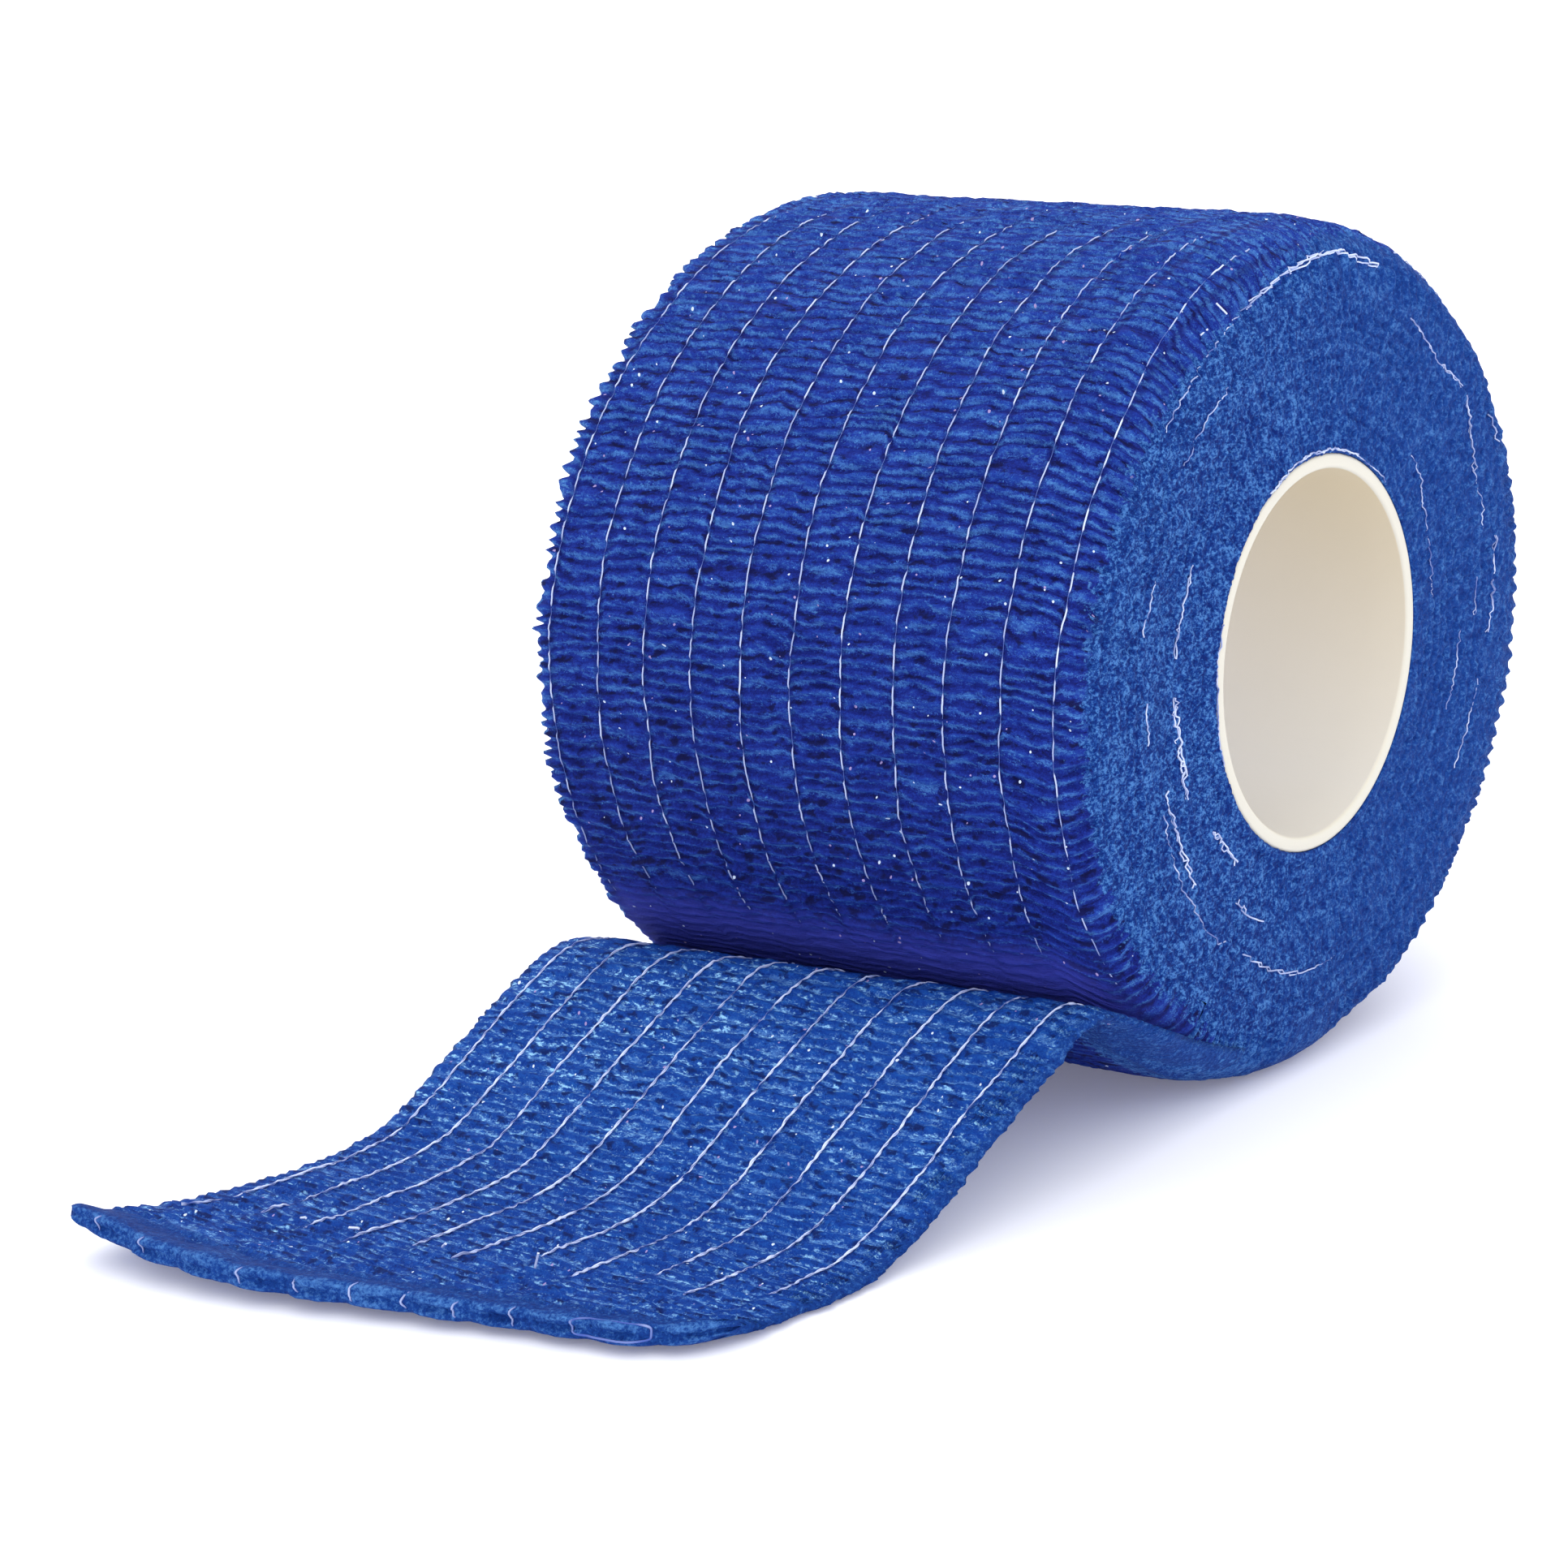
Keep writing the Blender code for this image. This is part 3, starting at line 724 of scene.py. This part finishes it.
def looseEndPaths(tape):
    # For each place across the tape, a fine path of its underside, from inside the roll to the cut
    cutY = readLine(cutLine, tape, 1)
    lift = readLine(cutLine, tape, 2)
    inset = readLine(rootLine, tape, 1)
    peel = roll["peel"] + roll["farSlip"] * (1 - tape) + roll["nearSlip"] * ease((tape - 0.9) / 0.1)
    reach = roll["layer"] * 0.5 - inset

    def onRoll(degrees, sink):
        angle = np.radians(degrees)
        y = -(roll["halfDepth"] + reach - sink) * np.cos(angle)
        z = roll["axisHeight"] + (roll["halfHeight"] + reach - sink) * np.sin(angle)
        return np.stack([y, z], -1)

    rows = []
    for back, sink in ((1.0, 0.3), (0.66, 0.3), (0.33, 0.25), (0.1, 0.08)):
        rows.append(onRoll(peel - looseEnd["rootTurn"] * back, sink))
    root = onRoll(peel, 0.0)
    flatStart = looseEnd["flatStart"]
    stretch = (cutY - flatStart) / (looseEndLine[-1, 0] - flatStart)
    squash = 1.0 - (1.0 - looseEnd["farSquash"]) * (1.0 - tape)
    shift = None
    for k, (baseY, baseZ) in enumerate(looseEndLine):
        y = np.full_like(tape, baseY)
        if baseY <= flatStart:
            y = flatStart + (baseY - flatStart) * stretch
        y = y - looseEnd["farReach"] * (1 - tape) * min(1.0, baseZ / 11.0)
        curl = np.maximum(0.0, (looseEnd["curlFrom"] - y) / (looseEnd["curlFrom"] - cutY))
        z = baseZ * squash + lift * curl ** 2.2
        point = np.stack([y, z], -1)
        if shift is None:
            shift = root - point
        rows.append(point + shift * {0: 1.0, 1: 0.31}.get(k, 0.0))
    path = smoothRun(np.stack(rows), 12)
    return path, lengthAlong(path), 4 * 12


middlePath, middleRun, middlePeel = looseEndPaths(np.array([0.5]))


def looseEndSurface(tape, share, side, relief=1.0):
    # tape runs across, share from the root (0) to the cut (1), side from 1 on top to -1 underneath
    path, run, peelRow = looseEndPaths(tape)
    columns = len(tape)
    share = np.repeat(np.asarray(share, float)[:, None], columns, 1)
    side = np.repeat(np.asarray(side, float)[:, None], columns, 1)
    along = share * run[-1]
    free = along - run[peelRow]
    toCut = run[-1] - along

    def read(distance):
        place = [np.stack([np.interp(distance[:, k], run[:, k], path[:, k, axis]) for k in range(columns)], 1)
                 for axis in (0, 1)]
        return np.stack(place, -1)

    under = read(along)
    # The ridges run straight across, so the pattern is counted along the middle of the tape
    flow = np.interp(-under[..., 0], -middlePath[:, 0, 0], middleRun[:, 0]) - middleRun[middlePeel, 0]
    step = read(along + 0.6) - read(along - 0.6)
    step /= np.hypot(step[..., 0], step[..., 1])[..., None]
    normal = np.stack([step[..., 1], -step[..., 0]], -1)
    length = run[-1] - run[peelRow]
    past = np.clip(free / length, 0.0, 1.0)
    far, near = readLine(edgeLine, past, 1), readLine(edgeLine, past, 2)
    tape = np.broadcast_to(tape, share.shape)
    opened = ease(free / looseEnd["opens"])
    x = readLine(rootX, tape, 1) * (1 - opened) + (far + tape * (near - far)) * opened
    cell = tape * threads["tapePitches"] - 0.5
    height, crest, phase = puckers(cell, flow, 61)
    bow = np.sin(math.pi * np.clip(cell - np.floor(cell), 0, 1))
    kind = 0.65 + 0.5 * ripple(np.floor(cell) * 3.3, 0.5, 71)
    rim = np.clip(1 - np.abs(2 * tape - 1) ** 22, 0.0, 1.0) ** 0.5
    corner = np.maximum(ease(1 - tape / 0.02), ease(1 - (1 - tape) / 0.025))

    # On top and underneath: ridges, calmer towards the cut, where the tape swells between its threads
    calm = 1 - 0.65 * ease(1 - (toCut - 1.0) / 3.0)
    thick = looseEnd["thick"] + (looseEnd["cutThick"] - looseEnd["thick"]) * ease(1 - toCut / 3.0)
    swell = (bow ** 0.7 - 0.5) * np.exp(-((toCut - 0.7) / 1.1) ** 2) * kind
    shown = ease(free / 2.0 + 0.4) * rim * np.abs(side)
    atRoot = ease((tape - 0.89) / 0.04) * ease(1 - (free - 6.0) / 6.0)
    calm = calm * (1 - 0.7 * atRoot)
    lift = np.where(side > 0, 0.85 * height * calm + 0.34 * swell, 0.4 * height * calm - 0.16 * swell) * shown
    lift = lift * relief
    offset = thick * (0.5 + 0.5 * side * rim) + lift

    # The cut face: a soft nose with a lip on top and a lens-shaped hollow between each two threads
    onCut = np.sqrt(np.clip(1 - side ** 2, 0.0, 1.0))
    forward = onCut * (looseEnd["nose"] + looseEnd["bulge"] * bow * kind)
    forward = forward - looseEnd["hollow"] * kind * bow ** 1.3 * np.exp(-((side + 0.1) / 0.36) ** 2)
    forward = forward + looseEnd["lip"] * bow * np.exp(-((side - 0.75) / 0.2) ** 2)
    forward = forward * (toCut < 0.001)
    atCut = ease(1 - toCut / 1.6)
    forward = forward + atCut * (0.22 * (bow - 0.5) + 0.25 * ripple(cell * 1.6, 0.2, 74) - 0.9 * corner)
    lumps = 0.12 * ripple(cell * 7.0, side * 2.5, 75) + 0.08 * ripple(cell * 15.0, side * 5.0, 76)
    forward = forward + (toCut < 0.001) * lumps
    place = under + normal * offset[..., None] + step * forward[..., None]

    jag = toothed(phase, flow, 72)
    x = x - 0.5 * jag * ease(1 - tape / 0.022) * opened
    x = x + (0.45 * jag + 0.25 * ripple(flow / 1.5, 0.5, 73)) * ease(1 - (1 - tape) / 0.03) * opened
    place = np.concatenate([x[..., None], place], -1)
    place[..., 2] = np.maximum(place[..., 2], tableGap)
    cloth = np.stack([cell * threads["pitch"], flow + np.where(side < 0, 300.0, 0.0),
                      np.where(np.abs(side) < 1, side * thick * 0.5, 0.0)], -1)
    back = np.where(side >= 0, 1, -1)[..., None]
    outward = np.concatenate([np.zeros_like(normal[..., :1]), normal * back], -1)
    # Painted shade, darker towards the cut, painted light on the swells, felted along the cut, and painted
    # sheen where it bends over the hump
    crest = crest * calm + 0.45 * (1 - calm) + 0.25 * swell - 0.2 * ease((free - 24.0) / 14.0)
    # On the cut face: painted shade in its hollows, painted highlight along its lip
    crest = np.where(toCut < 0.001, 0.30 + 0.7 * forward + 0.35 * np.exp(-((side - 0.8) / 0.25) ** 2), crest)
    felt = np.maximum(0.95 * ease(1 - (toCut - 1.6) / 4.4), 0.75 * ease((tape - 0.965) / 0.03))
    felt = np.maximum(felt, atRoot)
    shine = np.exp(-((tape - 0.2) / 0.33) ** 2) * np.exp(-((free - 15) / 11) ** 2)
    return {"place": place, "outward": outward, "cloth": cloth, "phase": phase, "crest": np.clip(crest, 0, 1),
            "felt": np.clip(felt, 0, 1), "grit": 0.25, "shine": shine,
            "normal": normal, "step": step, "length": float(length.mean())}


def makeLooseEnd():
    grid = looseEnd
    tape = np.linspace(0.0, 1.0, grid["columns"] + 1)
    down = np.linspace(0.0, 1.0, grid["rows"] + 1)
    face = np.linspace(1.0, -1.0, grid["cutRows"] + 1)[1:-1]
    share = np.concatenate([down, np.ones(len(face)), down[::-1]])
    side = np.concatenate([np.ones(len(down)), face, -np.ones(len(down))])
    surface = looseEndSurface(tape, share, side)
    piece = clothGrid("looseEnd", surface, weld=True)
    bm = bmesh.new()
    bm.from_mesh(piece.data)
    rim = [edge for edge in bm.edges if edge.is_boundary]
    bmesh.ops.holes_fill(bm, edges=rim, sides=0)
    bmesh.ops.recalc_face_normals(bm, faces=bm.faces)
    bm.to_mesh(piece.data)
    bm.free()
    piece.data.shade_smooth()
    dress(piece, "bandage", innerCrepe)
    return piece, surface["length"]


looseEndPiece, looseEndLength = makeLooseEnd()
rootLength = math.radians(looseEnd["rootTurn"]) * looseEnd["rootRadius"]
print("loose end", len(looseEndPiece.data.polygons) * 2, "triangles")
print("its free length", round(looseEndLength, 1), "mm")


# Threads: where the strip's elastic shows, and where it sticks out of the cut end and the near face

thread = {
    "radius": 0.085,
    "step": 0.25,
    "dash": 2.6,              # mm from one dip below the surface to the next
    "endTurn": 0.80,          # the threads nearest the shoulder sink in here, below the roll
    "hidden": (0.325, 0.36, 0.42, 0.45),      # turns: over the top of the roll they sink in
    "drawnIn": (0.3, 0.7, 1.0, 1.2),          # mm: the last four run inward towards the top
    "farIn": 0.55,            # mm: and so does the first one
    "twist": 2.3,             # mm for one turn of the two strands
    "snip": 0.11,             # radius of the snips on the tape
    "shoulderSnip": 0.075,    # and of those on the shoulder
    "perDegree": 0.44,        # mm along a thread for each degree round the near face
}


def tubes(name, lines, finish):
    # One mesh of thin tubes, drawn as curves: each line has its points, its radii and how blue it looks
    curve = bpy.data.curves.new(name, "CURVE")
    curve.dimensions = "3D"
    curve.bevel_depth = mm
    curve.bevel_resolution = 0        # four sides are enough for so thin a thread
    curve.use_fill_caps = True
    for line in lines:
        count = len(line["place"])
        spline = curve.splines.new("POLY")
        spline.points.add(count - 1)
        flat = np.concatenate([line["place"] * mm, np.ones((count, 1))], 1)
        spline.points.foreach_set("co", flat.astype(np.float32).ravel())
        spline.points.foreach_set("radius", np.broadcast_to(line["radius"], count).astype(np.float32))
    holder = addObject(name + "Curve", curve)
    mesh = bpy.data.meshes.new_from_object(holder.evaluated_get(bpy.context.evaluated_depsgraph_get()))
    mesh.name = name
    bpy.data.objects.remove(holder)
    places = np.concatenate([line["place"] for line in lines]) * mm
    veils = np.concatenate([np.broadcast_to(line["veil"], len(line["place"])) for line in lines])
    nearby = KDTree(len(places))
    for index, place in enumerate(places):
        nearby.insert(place, index)
    nearby.balance()
    setAttribute(mesh, "veil", "FLOAT", [veils[nearby.find(vertex.co)[1]] for vertex in mesh.vertices])
    mesh.shade_smooth()
    piece = addObject(name, mesh)
    dress(piece, "bandage", finish)
    return piece


def rollThreadLines():
    lines = []
    for k in range(threads["count"]):
        start = 0.012 + 0.022 * (0.5 + 0.5 * float(ripple(k * 3.1, 0.5, 81)))
        end = thread["endTurn"] if k >= threads["count"] - 3 else 1.0
        turn = np.arange(start, end, thread["step"] / roll["wrap"])
        along = turn * roll["wrap"]
        kink = 0.05 * ripple(along / 1.2, k * 5.0, 82) + 0.16 * ripple(along / 5.0, k * 5.0, 83)
        count = along / thread["dash"] + 0.5 * ripple(along / 4.0, k * 9.0, 84)
        dash = ease((0.5 - np.abs(count - np.floor(count) - 0.5) - 0.15) / 0.08)
        bright = 0.5 + 0.5 * ripple(np.floor(count) * 2.7, k * 3.3, 85)
        ends = ease((along - along[0]) / 5.0) * ease((along[-1] - along) / 6.0)
        ends = ends * (0.3 + 0.7 * ease(along / 26.0))
        fade, gone, back, clear = thread["hidden"]
        ends = ends * np.maximum(ease((gone - turn) / (gone - fade)), ease((turn - back) / (clear - back)))
        inward = 0.0
        if k >= threads["count"] - 4:
            inward = thread["drawnIn"][k - threads["count"] + 4] * ease((turn - 0.22) / 0.11)
        if k == 0:
            inward = -thread["farIn"] * ease((turn - 0.18) / 0.10)
        up = 0.05 + 0.09 * dash - 0.35 * (1 - ends)
        place = woundSurface(threadRun[k] + kink - inward, turn, up, relief=0.25)["place"]
        veil = 0.95 - dash * (0.25 + 0.70 * bright) * (0.3 + 0.7 * ends)
        radius = thread["radius"] * (0.32 + 0.34 * dash + 0.28 * dash * bright)
        lines.append({"place": place, "radius": radius, "veil": np.clip(veil, 0.0, 1.0)})
    return lines


def onLooseEnd(tape, share, side, up, relief=1.0):
    # Places on the loose end, each with its own place across, along and over the edge, and its height above
    count = 9
    spread = max(0.008, float(np.ptp(tape)) * 0.6)
    nearby = np.linspace(tape.mean() - spread, tape.mean() + spread, count)
    surface = looseEndSurface(nearby, share, side, relief)
    at = (tape - nearby[0]) / (nearby[-1] - nearby[0]) * (count - 1)
    low = np.clip(np.floor(at).astype(int), 0, count - 2)
    part = np.clip(at - low, 0.0, 1.0)[:, None]
    rows = np.arange(len(share))
    point = surface["place"][rows, low] * (1 - part) + surface["place"][rows, low + 1] * part
    onTop = np.clip(side, 0.0, 1.0)[:, None]
    direction = surface["normal"][rows, low] * onTop + surface["step"][rows, low] * (1 - onTop)
    point[:, 1:] += direction * up[:, None]
    return point


def tapeThreadLines():
    lines = []
    total = looseEndLength + rootLength
    for k in range(threads["count"]):
        tape = (0.5 + k) / threads["tapePitches"]
        begin = rootLength + 1.5 + 4.5 * (0.5 + 0.5 * float(ripple(k * 2.7, 0.5, 91)))
        finish = total - 6.6 - 3.4 * (0.5 + 0.5 * float(ripple(k * 4.3, 1.5, 92)))
        along = np.arange(begin, finish, thread["step"])
        for strand in (0, 1):
            twist = 2 * math.pi * along / thread["twist"] + math.pi * strand
            twist = twist + 1.2 * ripple(along / 3.0, k, 93)
            kink = 0.04 * ripple(along / 1.1, k * 5.0, 94) + 0.18 * ripple(along / 6.0, k * 5.0, 95)
            sideways = kink + 0.05 * np.cos(twist)
            dip = ripple(along / 2.0, k * 9.0, 96)
            ends = ease((along - begin) / 3.0) * ease((finish - along) / 7.0)
            up = 0.04 + 0.05 * np.sin(twist) + 0.07 * dip - 0.22 * (1 - ends) * (0.6 - dip)
            share = along / total
            tapePlace = tape + sideways / looseEnd["flatWidth"]
            place = onLooseEnd(tapePlace, share, np.ones(len(share)), up + 0.04, relief=0.45)
            nub = ripple(along / 0.7, k * 9.0 + strand, 97)
            # The nubs swell the thread and are painted brighter, as painted highlights on the twisted strands
            veil = 0.27 - 0.30 * dip - 0.7 * nub + 0.5 * (1 - ends)
            lines.append({"place": place, "radius": thread["radius"] * (0.62 + 0.12 * dip + 0.32 * nub),
                          "veil": np.clip(veil, 0.0, 1.0)})
    return lines


# White ends that hook over the cut: place counted in threads, height at the top and at the foot, strength
cutEnds = np.array([
    (0.3, 0.9, -0.3, 0.7), (1.3, 0.9, -0.4, 0.7), (3.25, 0.9, -0.45, 0.9), (4.2, 0.8, -0.4, 0.9),
    (5.1, 1.0, -0.5, 1.0), (5.95, 0.9, -0.5, 0.9), (6.8, 0.8, -0.5, 0.8), (7.7, 0.95, -0.6, 0.9)])
cutLoop = {"from": 8.75, "to": 9.95, "top": 0.95, "foot": -0.55, "corner": 0.42}
# Loose snips of thread on the tape: place counted in threads, mm from the cut, then how far each reaches
# across, along and up
snips = np.array([(1.65, 11.25, 0.7, 0.2, 0.25), (2.78, 10.75, 1.1, 0.2, 0.25), (4.59, 10.25, 0.5, 0.2, 0.4),
                  (6.28, 9.75, 0.42, 0.1, 1.15)])


def snip(root, reach, radius):
    return {"place": root + np.linspace(0.0, 1.0, 4)[:, None] * reach, "radius": radius, "veil": 0.0}


def cutEndLines():
    lines = []
    pitches = threads["tapePitches"]
    for place, top, foot, strength in cutEnds:
        t = np.linspace(0.0, 1.0, 11)
        side = top + (foot - top) * t
        bend = 0.34 * np.abs(2 * t - 1) ** 2.2 + 0.05 * ripple(t * 5, place * 3.0, 101)
        tape = (0.5 + place) / pitches + bend / looseEnd["flatWidth"]
        point = onLooseEnd(tape, np.ones(len(t)), side, np.full(len(t), 0.05))
        taper = np.sin(math.pi * (0.12 + 0.76 * t)) ** 0.6
        lines.append({"place": point, "radius": thread["radius"] * taper,
                      "veil": 0.9 - 0.45 * strength * np.sin(math.pi * t) ** 0.5})
    # One thread end lies along the cut as a rounded loop
    t = np.linspace(0.0, 1.0, 40)
    turn = 2 * math.pi * t + 0.9 * math.pi
    along = np.sign(np.cos(turn)) * np.abs(np.cos(turn)) ** cutLoop["corner"]
    up = np.sign(np.sin(turn)) * np.abs(np.sin(turn)) ** cutLoop["corner"]
    middle, reach = (cutLoop["from"] + cutLoop["to"]) / 2, (cutLoop["to"] - cutLoop["from"]) / 2
    side = (cutLoop["top"] + cutLoop["foot"]) / 2 + up * (cutLoop["top"] - cutLoop["foot"]) / 2
    tape = (0.5 + middle + along * reach) / pitches
    point = onLooseEnd(tape, np.ones(len(t)), side, 0.02 + 0.04 * ripple(t * 9, 0.5, 102))
    lines.append({"place": point, "radius": thread["radius"] + 0.035 * ripple(t * 13, 0.5, 104),
                  "veil": np.clip(0.92 + 0.3 * ripple(t * 9, 0.5, 103), 0.0, 1.0)})
    for place, back, across, ahead, up in snips:
        tape = np.full(2, (0.5 + place) / pitches)
        share = np.full(2, 1 - back / (looseEndLength + rootLength))
        root = onLooseEnd(tape, share, np.ones(2), np.full(2, 0.2))[0]
        lines.append(snip(root, np.array([across, -ahead, up]), thread["snip"]))
    return lines


# Thread ends that show between the turns on the near face: radius at both ends, degrees at both ends,
# strands, and how much they stand out (1 is white and frayed, 0.3 is hardly there)
faceEnds = np.array([
    (30.0, 30.2, 64, 71, 1, 0.6), (30.1, 30.4, 70, 82, 2, 0.8), (30.4, 31.0, 81, 96, 3, 0.9),
    (31.1, 30.5, 95, 105, 2, 0.9), (30.4, 30.2, 45, 62, 1, 0.4), (28.4, 28.3, 116, 131, 2, 0.5),
    (28.4, 29.5, 130, 138, 2, 0.45), (29.5, 28.0, 140, 154, 2, 0.6), (28.0, 28.1, 154, 166, 1, 0.4),
    (30.0, 29.4, 169, 176, 2, 0.6), (29.3, 28.7, 177, 187, 2, 0.6), (26.3, 26.3, 175, 183, 2, 0.45),
    (32.7, 32.6, 149, 154, 1, 0.6), (20.5, 19.4, 134, 155, 1, 0.45), (19.4, 19.0, 155, 175, 1, 0.45),
    (21.1, 21.5, 31, 10, 2, 0.6), (26.1, 26.6, 24, 14, 1, 0.4), (25.5, 25.9, 2, -6, 1, 0.6),
    (21.3, 20.9, 1, -11, 3, 1.0), (20.9, 21.2, -11, -24, 3, 1.0), (23.5, 23.5, -18, -42, 2, 0.9),
    (19.4, 18.9, -38, -52, 3, 0.9), (21.5, 21.5, -57, -70, 2, 0.7), (24.3, 25.3, -65, -84, 2, 0.6),
    (25.3, 25.3, -84, -96, 1, 0.5), (27.6, 27.0, 196, 214, 1, 0.5), (24.0, 23.6, 186, 204, 1, 0.4),
    (24.4, 24.9, -22, -58, 1, 0.35), (26.8, 26.8, 44, 60, 1, 0.3), (16.3, 16.1, 62, 108, 2, 0.7),
    (16.0, 16.1, 108, 126, 1, 0.35), (16.1, 16.0, -25, 20, 1, 0.4)])
# Straight snips of thread on the shoulder: radius and degrees at both ends
shoulderSnips = np.array([(32.0, 65.0, 31.1, 65.4), (31.6, 59.9, 31.5, 61.0)])


def nearFacePlace(radius, degrees, lift):
    # Finds the place on the near face, or on the shoulder around it, at this distance from the axis
    turns = np.linspace(0.0, 1.0, 721)
    reached = roll["crevice"] + (roll["peel"] - roll["crevice"]) * turns
    reached = reached + roll["nearSlip"] * (2 * turns - 1) ** 6
    turn = np.interp(np.mod(degrees - reached[0], 360.0) + reached[0], reached, turns)
    side = section["x"] > 19.0
    inset, share, run = section["inset"][side], section["share"][side], section["run"][side]
    grow = roll["layer"] * (turn[:, None] - 0.5) - inset[None, :]
    angle = np.radians(degrees)[:, None]
    size = np.hypot((roll["halfDepth"] + grow) * np.cos(angle), (roll["halfHeight"] + grow) * np.sin(angle))
    reach = size * (1 - share) + roll["bore"] * share
    nearest = np.abs(reach - radius[:, None]).argmin(1)
    return woundSurface(run[nearest], turn, lift)["place"]


def faceEndLines():
    lines = []
    for row, (inner, outer, start, end, strands, strength) in enumerate(faceEnds):
        span = abs(end - start)
        count = max(8, int(span / 0.55))
        t = np.linspace(0.0, 1.0, count)
        degrees = start + (end - start) * t
        along = degrees * thread["perDegree"]
        for strand in range(int(strands)):
            seed = row * 7.0 + strand * 2.3
            loop = (0.02 + 0.20 * strength ** 2) * ripple(along / 0.6, seed, 111)
            drift = 0.22 * ripple(along / 3.0, seed, 112) * (strand > 0) * strength
            radius = inner + (outer - inner) * t + loop + drift
            lift = -0.02 + 0.20 * strength * ripple(along / 1.5, seed, 113) + 0.08 * strength
            point = nearFacePlace(radius, degrees, lift)
            veil = 0.85 - 0.85 * strength + 0.50 * ripple(along / 1.1, seed, 114)
            lines.append({"place": point, "radius": (0.05 + 0.025 * strength) * np.ones(count),
                          "veil": np.clip(veil, 0.0, 1.0)})
    for inner, start, outer, end in shoulderSnips:
        ends = nearFacePlace(np.array([inner, outer]), np.array([start, end]), 0.22)
        lines.append(snip(ends[0], ends[1] - ends[0], thread["shoulderSnip"]))
    return lines


rollThreads = tubes("rollThreads", rollThreadLines(), threadWhite)
tapeThreads = tubes("tapeThreads", tapeThreadLines() + cutEndLines(), threadWhite)
faceThreads = tubes("faceThreads", faceEndLines(), threadWhite)
for made in (rollThreads, tapeThreads, faceThreads):
    print(made.name, len(made.data.polygons), "faces")


# The core

core = {"outer": 15.6, "inner": 14.4, "halfLength": 23.4, "rim": 0.3, "sides": 256}


def makeCore():
    size = core
    bm = bmesh.new()
    axis = roll["axisHeight"]
    outline = [(-size["halfLength"], size["inner"]), (size["halfLength"], size["inner"]),
               (size["halfLength"], size["outer"]), (-size["halfLength"], size["outer"])]
    corners = []
    for x, radius in outline:
        corners.append(bm.verts.new((x * mm, 0.0, (axis + radius) * mm)))
    wall = bm.faces.new(corners)
    bmesh.ops.bevel(bm, geom=list(wall.verts), offset=size["rim"] * mm, offset_type="OFFSET", segments=4,
                    profile=0.5, affect="VERTICES", material=-1)
    edges = list(bm.edges)
    bmesh.ops.delete(bm, geom=list(bm.faces), context="FACES_ONLY")
    long = [edge for edge in edges if edge.calc_length() > size["halfLength"] * mm]
    bmesh.ops.subdivide_edges(bm, edges=long, cuts=12)
    bmesh.ops.spin(bm, geom=list(bm.verts) + list(bm.edges), cent=(0.0, 0.0, axis * mm), axis=(1.0, 0.0, 0.0),
                   angle=2 * math.pi, steps=size["sides"], use_merge=True)
    bmesh.ops.recalc_face_normals(bm, faces=bm.faces)
    piece = addObject("coreTube", meshFrom(bm, "coreTube"))
    piece.data.shade_smooth()
    dress(piece, "core", corePlastic)
    return piece


coreTube = makeCore()
print("core", len(coreTube.data.polygons) * 2, "triangles")


# Floor, light and camera

studio = {
    "floor": 14.0,            # metres
    "glow": 0.15,             # the board is lit from behind
    "sky": 1.16,
    "key": 0.7,
    "keyFrom": (-0.35, 0.35, 1.0),
    "keySoft": 70.0,          # degrees
    "fill": 0.9,
    "fillFrom": (0.55, -0.75, 0.75),
    "fillSoft": 60.0,
}


def makeStudio():
    bm = bmesh.new()
    bmesh.ops.create_grid(bm, x_segments=1, y_segments=1, size=studio["floor"] / 2)
    floor = addObject("floor", meshFrom(bm, "floor"))
    board = {"Base Color": linear("F3F5FB"), "Roughness": 0.9, "Specular IOR Level": 0.1,
             "Emission Color": linear("ECE9FB"), "Emission Strength": studio["glow"]}
    floor.data.materials.append(newMaterial("white studio board", board)[0])

    world = bpy.data.worlds.new("studio")
    world.use_nodes = True
    background = world.node_tree.nodes["Background"]
    background.inputs["Color"].default_value = (1.0, 1.0, 1.0, 1.0)
    background.inputs["Strength"].default_value = studio["sky"]
    bpy.context.scene.world = world

    for name in ("key", "fill"):
        lamp = bpy.data.lights.new(name, "SUN")
        lamp.energy = studio[name]
        lamp.angle = math.radians(studio[name + "Soft"])
        light = addObject(name, lamp)
        light.rotation_euler = Vector(studio[name + "From"]).to_track_quat("Z", "Y").to_euler()


camera = {
    "place": (156.22, -238.36, 90.18),
    "turn": (78.83, 0.0, 33.24),      # degrees
    "lens": 82.256,
    "sensor": 36.0,
    "shift": (-0.18097, -0.10494),
}


def makeCamera():
    lens = bpy.data.cameras.new("camera")
    lens.lens = camera["lens"]
    lens.sensor_width = camera["sensor"]
    lens.shift_x, lens.shift_y = camera["shift"]
    lens.clip_start = 0.01
    lens.clip_end = 50.0
    made = addObject("camera", lens)
    made.location = Vector(camera["place"]) * mm
    made.rotation_euler = [math.radians(a) for a in camera["turn"]]
    bpy.context.scene.camera = made


makeStudio()
makeCamera()
bpy.context.scene.view_settings.view_transform = "Standard"
bpy.context.scene.view_settings.look = "None"
print("studio and camera set")
